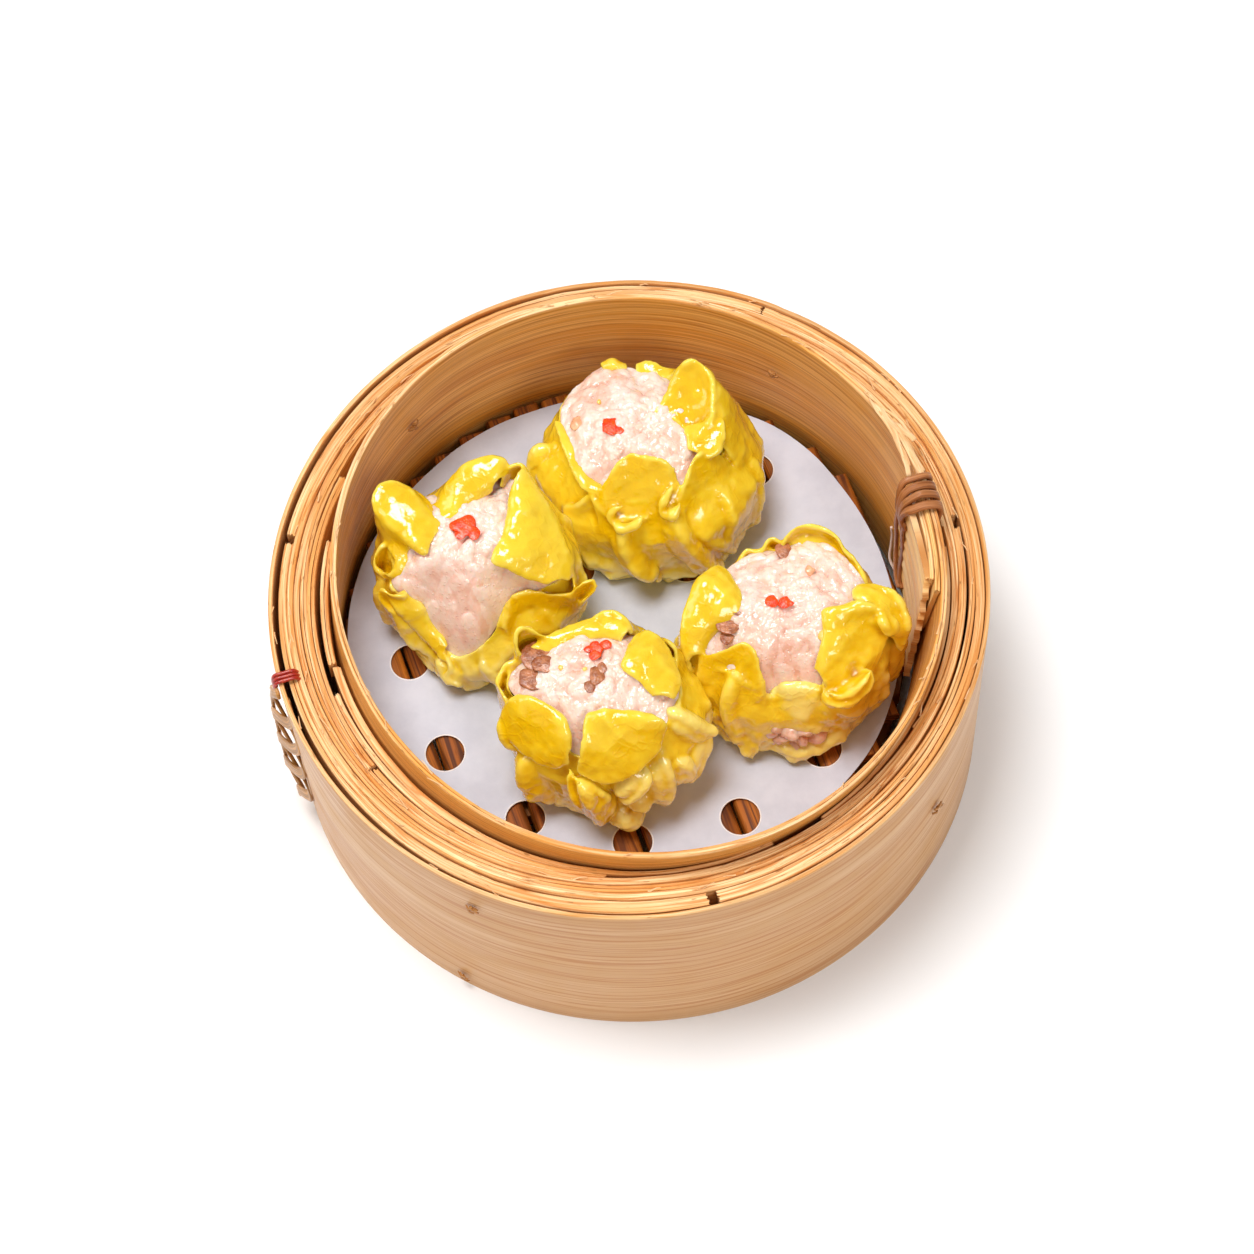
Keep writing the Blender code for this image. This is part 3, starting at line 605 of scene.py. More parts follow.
STITCH_CANE = bamboo_material("stitch_cane", (0.62, 0.30, 0.09), (0.48, 0.20, 0.05),
                              (0.25, 0.08, 0.015), roughness=0.4, Fibre_Width=0.25,
                              Fibre_Length=8.0, Streaks=0.6)
HIDDEN_BAMBOO = hidden_material()
PAPER = paper_material()
RIM_PAPER = fine_material("punched_edge", 900.0, (0.80, 0.78, 0.78), (0.95, 0.94, 0.94), 0.3, 0.7)
WRAPPER = wrapper_material()
FILLING = filling_material()
WIRE = fine_material("red_wire", 1500.0, (0.36, 0.012, 0.006), (0.50, 0.05, 0.015), 0.3, 0.35,
                     (0.45, 0.7), (0.25, 0.5), Coat_Weight=0.3)
THREAD = fine_material("pale_thread", 700.0, (0.62, 0.45, 0.38), (0.80, 0.68, 0.62), 0.2, 0.3,
                       Coat_Weight=0.3)
FLOOR = fine_material("pale_floor", 60.0, (0.93, 0.93, 0.93), (0.96, 0.96, 0.96), 0.0, 0.8)
TOPPINGS = {
    "carrot": (topping_material("red_garnish", (0.93, 0.085, 0.0), (0.82, 0.035, 0.0)), 0.2, 0.85),
    "mushroom": (topping_material("mushroom_bits", (0.52, 0.19, 0.075), (0.28, 0.075, 0.022)),
                 0.13, 0.6),
    "corn": (topping_material("corn_bits", (0.90, 0.62, 0.16), (0.85, 0.50, 0.08)), 0.5, 0.3),
    "prawn": (topping_material("prawn_bits", (0.90, 0.48, 0.26), (0.78, 0.34, 0.17)), 0.45, 0.1),
}


# ---------------------------------------------------------------- bent strips of the basket
STEP = 1.5
TOP_SHARES = (0.0, 0.05, 0.13, 0.24, 0.36, 0.45, 0.5, 0.55, 0.64, 0.76, 0.87, 0.95, 1.0)
SIDE_SHARES = (0.0, 0.08, 0.3, 0.55, 0.8, 0.93, 0.985)
EDGE_ROUND = 0.22 * MM


def strip_grid(angles, place, thickness, bottom, top, seed, ridge=0.1, wave=0.25, nick=0.5,
               crack=(), sway=0.1):
    """Rows of points round the section of a bent strip, one row for each angle.

    place(angles, heights, outwards) gives the points; ridge, wave, nick and sway are how far
    its fibres, its top line, its chips and its sides stray, in millimetres."""
    circle = on_circle(75.0, angles)
    lift = wave * noise(circle, 18.0, seed) + 0.4 * wave * noise(circle, 5.0, seed + 1)
    chips = smooth_step(noise(circle, 3.2, seed + 2), 0.62, 0.85) * nick
    drift = sway * noise(circle, 22.0, seed + 3) * MM
    crack_depth = np.zeros_like(angles)
    for start, end, depth in crack:
        crack_depth += depth * hump(angles, (start + end) / 2.0, (end - start) / 3.0)
    tall = top - bottom
    section, across = [], []

    def add(height, out, run):
        section.append(place(angles, height, out + drift))
        across.append(run)

    for share in SIDE_SHARES:
        add(bottom + share * (tall - EDGE_ROUND), 0.0, share * tall)
    for share in TOP_SHARES:
        edge = min(share, 1.0 - share)
        drop = EDGE_ROUND * (1.0 - min(1.0, edge / 0.13) ** 0.5)
        fibre = on_circle(75.0, angles, share * thickness / MM)
        height = top - drop + MM * (lift + ridge * noise(fibre, (9.0, 9.0, 0.3), seed + 4))
        height = height - MM * chips * (0.4 + 0.6 * noise(fibre, (3.0, 3.0, 0.5), seed + 5))
        if share == 0.5:
            height = height - MM * crack_depth
        add(height, share * thickness, tall + share * thickness)
    for share in SIDE_SHARES[::-1]:
        add(bottom + share * (tall - EDGE_ROUND), thickness,
            tall + thickness + (1.0 - share) * tall)
    side = [0.0] * len(SIDE_SHARES)
    return np.stack(section, 1), np.array(across), side + [1.0] * len(TOP_SHARES) + side


def bent_strip(name, start, end, place, thickness, bottom, top, seed, **wear):
    """Bent strip between two angles, or all the way round if they are a full turn apart."""
    closed = end - start >= FULL_TURN
    angles = np.linspace(start, end, max(8, int(round((end - start) / STEP))) + 1)
    if closed:
        angles = angles[:-1]
    grid, across, cut = strip_grid(angles, place, thickness, bottom, top, seed, **wear)
    rows, columns = grid.shape[:2]
    if not closed:
        draw = np.random.default_rng(seed)
        for row, way in ((0, 1), (rows - 1, -1)):
            ahead = unit(grid[row] - grid[row + way])
            grid[row] += ahead * draw.uniform(-0.3, 0.3, columns)[:, None] * MM
    obj = closed_body(name, grid, loop=closed)[0]
    obj.data.set_sharp_from_angle(angle=math.radians(50.0))
    grain = np.repeat(on_circle(0.07, angles)[:, None], columns, 1)
    grain[..., 2] = across + seed * 0.011
    set_attribute(obj, "grain", grain, "FLOAT_VECTOR")
    set_attribute(obj, "cut", np.tile(cut, rows))
    return obj


def round_place(centre, inner):
    """Places points on a round strip from its inner face outwards."""
    def place(angles, heights, outwards):
        return on_circle(inner + outwards, angles, heights, centre)
    return place


def box_round(*nodes):
    """Centre, outer radius and top of the circle that some nodes' solids lie on."""
    boxes = [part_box(node) for node in nodes]
    low = [min(box[0][k] for box in boxes) for k in range(3)]
    high = [max(box[1][k] for box in boxes) for k in range(3)]
    centre = ((low[0] + high[0]) / 2.0, (low[1] + high[1]) / 2.0)
    return centre, (high[1] - low[1]) / 2.0, low[2], high[2]


WALL_THICKNESS = 1.0 * MM
# Where each hoop's inner and outer faces run: angle, inner and outer radius in millimetres.
HOOP_FACES = {
    "hoop_1": ((-90, 70.85, 73.5), (180, 71.1, 72.85), (0, 72.1, 73.85), (90, 71.6, 73.7)),
    "hoop_2": ((-90, 69.0, 70.6), (180, 69.75, 71.0), (0, 70.75, 71.95), (90, 70.3, 71.5)),
    "hoop_3": ((-90, 67.25, 68.85), (180, 68.45, 69.65), (-16, 68.7, 69.75), (12, 69.4, 70.6),
               (90, 69.0, 70.2)),
    "hoop_4": ((-90, 65.6, 67.1), (180, 66.95, 68.35), (0, 68.0, 69.3), (90, 67.7, 68.9)),
}
PACKING_FACES = {"packing_strip_outer": (152.0, 214.0, 65.1, 66.85),
                 "packing_strip_inner": (166.0, 192.0, 62.4, 64.1)}
# Thin plies that fill the crescent between the hoops and the ring: ends, then faces as above.
FILLERS = (((-34.0, 44.0), ((0, 67.0, 67.85),)),
           ((192.6, 292.0), ((190, 61.9, 63.6), (208, 61.7, 63.4), (225, 61.9, 63.6),
                             (240, 62.7, 64.1), (255, 63.8, 64.9), (275, 64.6, 65.4),
                             (295, 64.9, 65.7))),
           ((198.0, 262.0), ((200, 63.7, 64.9), (225, 63.8, 65.0), (245, 64.5, 65.5),
                             (262, 65.0, 65.7))),
           ((214.6, 258.0), ((214, 65.2, 66.3), (235, 65.2, 66.0), (258, 65.6, 66.0))),
           ((-58.0, 3.0), ((-58, 65.7, 66.3), (-35, 65.3, 66.4), (-10, 65.3, 66.7),
                           (4, 65.6, 66.8))))
HOOP_CRACKS = {
    "hoop_2": ((60.0, 150.0, 0.5), (-60.0, 20.0, 0.6)),
    "hoop_3": ((190.0, 290.0, 0.5), (-20.0, 60.0, 0.5)),
    "hoop_4": ((120.0, 240.0, 0.7), (-40.0, 30.0, 0.5)),
}
HOOP_ENDS = {"hoop_2": (-70.0, 290.0), "hoop_3": (8.6, 366.0), "hoop_4": (10.0, 370.0)}
OUTER_STRIPS = {"hoop_1_front": (-193.0, -81.5), "hoop_1_right": (-79.8, 62.0),
                "hoop_1_back": (62.5, 165.4)}


def face_place(keys, thickness):
    """Places points between a strip's inner and outer faces, whose radii vary round it."""
    def place(angles, heights, outwards):
        inner, outer = around(keys, angles, 25)
        radius = inner + (outer - inner) * (outwards / thickness)
        return on_circle(radius * MM, angles, heights)
    return place


def build_hoops():
    """The wall and the hoops packed inside it."""
    centre, outer, low, high = box_round("outer_wall")
    wall = bent_strip("wall_strip", -40.0, 320.0, round_place(centre, outer - WALL_THICKNESS),
                      WALL_THICKNESS - 0.05 * MM, low, high, 11, ridge=0.05, wave=0.18,
                      nick=0.3, sway=0.04)
    finish_piece(wall, WALL, ["outer_wall"])
    low, high = box_round(*OUTER_STRIPS)[2:]
    place = face_place(HOOP_FACES["hoop_1"], 2.0 * MM)
    for k, (name, (start, end)) in enumerate(OUTER_STRIPS.items()):
        strip = bent_strip(f"{name}_strip", start, end, place, 2.0 * MM, low, high, 21 + 7 * k,
                           wave=0.3, crack=((start + 10.0, start + 60.0, 0.6),), sway=0.12)
        finish_piece(strip, STRIP, [name])
    for k, (name, (start, end)) in enumerate(HOOP_ENDS.items()):
        low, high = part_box(name)
        strip = bent_strip(f"{name}_strip", start, end, face_place(HOOP_FACES[name], 1.3 * MM),
                           1.3 * MM, low.z, high.z, 51 + 9 * k, ridge=0.2, wave=0.35, nick=0.6,
                           crack=HOOP_CRACKS[name])
        finish_piece(strip, STRIP, [name])
    for k, ((start, end), faces) in enumerate(FILLERS):
        ply = bent_strip(f"filler_ply_{k}", start, end, face_place(faces, 0.9 * MM), 0.9 * MM,
                         low.z + 28.0 * MM, high.z - 0.3 * MM, 83 + 5 * k, ridge=0.2, wave=0.5)
        finish_piece(ply, STRIP)


def build_packing():
    """Short strips wedged in beside the ring on its left."""
    for k, (name, (start, end, inner, outer)) in enumerate(PACKING_FACES.items()):
        low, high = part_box(name)
        strip = bent_strip(f"{name}_piece", start, end,
                           face_place(((0, inner, outer),), 1.6 * MM), 1.6 * MM, low.z, high.z,
                           91 + 9 * k, ridge=0.3, wave=0.4, nick=0.8,
                           crack=((start, end, 0.8), (start + 10.0, end + 10.0, 0.4)))
        finish_piece(strip, STRIP, [name])


# Inner ring sections, bottom to top: height, centre x, centre y, inner radius, ovality.
RING_SECTIONS = ((14.0, -1.0, 4.0, 62.3, 0.0), (30.0, -1.0, 3.8, 62.0, 0.0),
                 (64.6, 2.25, 0.8, 63.3, -0.031))
RING_OVAL_ANGLE = 22.0
RING_THICKNESS = 1.35 * MM


def ring_place(angles, heights, outwards):
    """Points on the leaning, slightly oval inner ring, from its inner face outwards."""
    heights = heights + 0 * angles
    levels = [section[0] * MM for section in RING_SECTIONS]
    x, y, radius, oval = (np.interp(heights, levels, [section[k] for section in RING_SECTIONS])
                          for k in range(1, 5))
    radius = radius * MM * (1.0 + oval * np.cos(2.0 * np.radians(angles - RING_OVAL_ANGLE)))
    return on_circle(radius + outwards, angles, heights, (x * MM, y * MM))


def ring_spots(route):
    """Points on the ring from rows of angle, height and distance outwards."""
    return ring_place(*np.array(route, float).T)


def build_ring():
    """The inner ring, one bent strip."""
    low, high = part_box("inner_ring")
    ring = bent_strip("ring_strip", -100.0, 260.0, ring_place, RING_THICKNESS, low.z, high.z,
                      131, ridge=0.12, wave=0.2, nick=0.35, sway=0.06,
                      crack=((-80.0, 60.0, 0.5), (150.0, 250.0, 0.5)))
    finish_piece(ring, RING, ["inner_ring"])


# ---------------------------------------------------------------- floor of slats


SLAT_PITCH = 6.8 * MM
SLAT_WIDTH = 6.35 * MM
SLAT_THICKNESS = 3.0 * MM
SLATS = 18
SLAT_FIRST = -57.3 * MM
SLAT_REACH = 61.8 * MM
LAST_SLAT_WIDTH = 3.4 * MM
# A slat's section: across its width, up its thickness, as shares.
SLAT_PROFILE = ((-0.5, 0.0), (-0.5, 0.7), (-0.46, 0.88), (-0.36, 0.98), (-0.1, 1.0),
                (0.12, 0.99), (0.37, 0.97), (0.46, 0.87), (0.5, 0.7), (0.5, 0.0))


def build_slats():
    """Slats cut to the ring's round, each a little different, with worn edges."""
    floor_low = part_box("slat_09")[0].z
    draw = np.random.default_rng(5)
    along = np.array([math.cos(SLAT_TURN), math.sin(SLAT_TURN), 0.0])
    across = np.array([-along[1], along[0], 0.0])
    middle = np.array([RING_SECTIONS[1][1] * MM, RING_SECTIONS[1][2] * MM, 0.0])
    u, v = np.array(SLAT_PROFILE).T
    parts = []
    for k in range(SLATS):
        offset = SLAT_FIRST + k * SLAT_PITCH
        width = SLAT_WIDTH * draw.uniform(0.88, 1.02)
        if k == SLATS - 1:
            width = LAST_SLAT_WIDTH
            offset = SLAT_FIRST + (k - 1) * SLAT_PITCH + (SLAT_PITCH + width) / 2.0
        side = offset - middle @ across
        worst = abs(side) + width / 2.0
        half = math.sqrt(max(SLAT_REACH ** 2 - worst * worst, (6 * MM) ** 2)) - 0.5 * MM
        run = np.linspace(-half, half, max(6, int(half / (2.0 * MM))))[:, None]
        spots = np.stack(np.broadcast_arrays(run / MM, u * 9.0 + k * 31.0, v * 5.0), -1)
        wobble = 0.18 * noise(spots, (9.0, 2.0, 2.0), 7) * MM
        aside = u * width + wobble * (abs(u) > 0.4)
        grid = across * side + middle + along * run[..., None] + across * aside[..., None]
        grid[..., 2] = floor_low + v * SLAT_THICKNESS + (wobble * 0.8 - 0.1 * MM) * (v > 0.5)
        slat = closed_body(f"slat_{k}", grid)[0]
        fibre = (run + k * 0.3, 0.0, u * width + v * 0.004 + k * 0.017)
        set_attribute(slat, "grain", np.stack(np.broadcast_arrays(*fibre), -1), "FLOAT_VECTOR")
        parts.append(slat)
    slats = join("floor_slats", parts)
    slats.data.set_sharp_from_angle(angle=math.radians(60.0))
    finish_piece(slats, SLAT, [f"slat_{k + 1:02d}" for k in range(SLATS)])
    for name in sorted(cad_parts):
        if name.startswith(("cross_rib", "ledge")):
            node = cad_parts[name]
            node.data.materials.clear()
            node.data.materials.append(HIDDEN_BAMBOO)


# ---------------------------------------------------------------- paper liner
PAPER_CENTRE = (-1.9, 3.4)
PAPER_RADIUS = 58.9
PAPER_CORNERS = ((49.0, 1.6, 13.0), (-25.0, 1.0, 16.0), (165.0, 0.7, 16.0))
HOLE_RADIUS = 4.3
HOLE_CENTRE = (0.4, 2.0)
HOLES = [(48.4, -177.5 + 27.7 * k) for k in range(7)] + [(48.4, 52.5), (48.4, 84.0), (48.4, 158.0)]
HOLES += [(20.5, 52.0 + 72.0 * k) for k in range(5)]
PAPER_THICKNESS = 0.22 * MM


def build_paper():
    """Round liner with blunt corners and punched holes, slightly uneven."""
    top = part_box("paper_liner")[1].z
    curve = bpy.data.curves.new("liner_outline", "CURVE")
    curve.dimensions = "2D"
    curve.fill_mode = "BOTH"
    curve.extrude = PAPER_THICKNESS / 2.0
    edge_angles = np.arange(0.0, FULL_TURN, 2.0)
    bulge = sum(size * hump(edge_angles, at, half) for at, size, half in PAPER_CORNERS)
    jitter = 0.15 * noise(on_circle(58.0, edge_angles), 8.0, 303)
    loops = [np.stack(polar(PAPER_RADIUS + bulge + jitter, edge_angles, PAPER_CENTRE), -1)]
    hole_angles = np.arange(0.0, FULL_TURN, 10.0)
    for radius, angle in HOLES:
        centre = polar(radius, angle, HOLE_CENTRE)
        loops.append(np.stack(polar(HOLE_RADIUS, hole_angles, centre), -1))
    for loop in loops:
        spline = curve.splines.new("POLY")
        spline.points.add(len(loop) - 1)
        for point, (x, y) in zip(spline.points, loop):
            point.co = (x * MM, y * MM, 0.0, 1.0)
        spline.use_cyclic_u = True
    holder = bpy.data.objects.new("liner_outline", curve)
    bpy.context.scene.collection.objects.link(holder)
    bpy.context.view_layer.update()
    mesh = bpy.data.meshes.new_from_object(holder.evaluated_get(
        bpy.context.evaluated_depsgraph_get()))
    bpy.data.objects.remove(holder, do_unlink=True)
    mesh.name = "liner_sheet"
    obj = bpy.data.objects.new("liner_sheet", mesh)
    bpy.context.scene.collection.objects.link(obj)
    points = points_of(obj)
    points[:, 2] += top - PAPER_THICKNESS / 2.0 - 0.05 * MM
    move_points(obj, points)
    finish_piece(obj, PAPER, ["paper_liner"])


def build_hole_rims():
    """The pale raised edge that the punch leaves round each hole, by nodes."""
    sizes = {"Hole Radius": (HOLE_RADIUS - 0.02) * MM, "Rim Thickness": 0.17 * MM}
    tree, n, data = start_group("punched rims", sizes, (), (("Geometry", "Geometry"),),
                                "Geometry")
    circle, section = (
        n.add("GeometryNodeCurvePrimitiveCircle", {"Resolution": count, "Radius": data[name]})
        for name, count in (("Hole Radius", 40), ("Rim Thickness", 6)))
    rim = n.add("GeometryNodeCurveToMesh", {"Curve": circle.outputs[0],
                                            "Profile Curve": section.outputs[0]})
    copies = n.add("GeometryNodeInstanceOnPoints", {"Points": data["Geometry"],
                                                    "Instance": rim.outputs[0]})
    real = n.add("GeometryNodeRealizeInstances", {"Geometry": copies.outputs[0]})
    dressed = n.add("GeometryNodeSetMaterial", {"Geometry": real.outputs[0]})
    dressed.inputs["Material"].default_value = RIM_PAPER
    n.add("NodeGroupOutput", {"Geometry": dressed.outputs[0]})
    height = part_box("paper_liner")[1].z - 0.1 * MM
    centres = [(*(v * MM for v in polar(radius, angle, HOLE_CENTRE)), height)
               for radius, angle in HOLES]
    rims = mesh_object("hole_rims", centres, [])
    modifier = rims.modifiers.new("shape", "NODES")
    modifier.node_group = tree
    for item in tree.interface.items_tree:
        if item.name in sizes:
            modifier[item.identifier] = sizes[item.name]
    bake_modifiers(rims).data.shade_smooth()
    finish_piece(rims, RIM_PAPER)


# ---------------------------------------------------------------- siu mai
AROUND = 240
SKIN = 1.15
VOXEL = 0.42 * MM
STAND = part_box("wrapper_back")[0].z

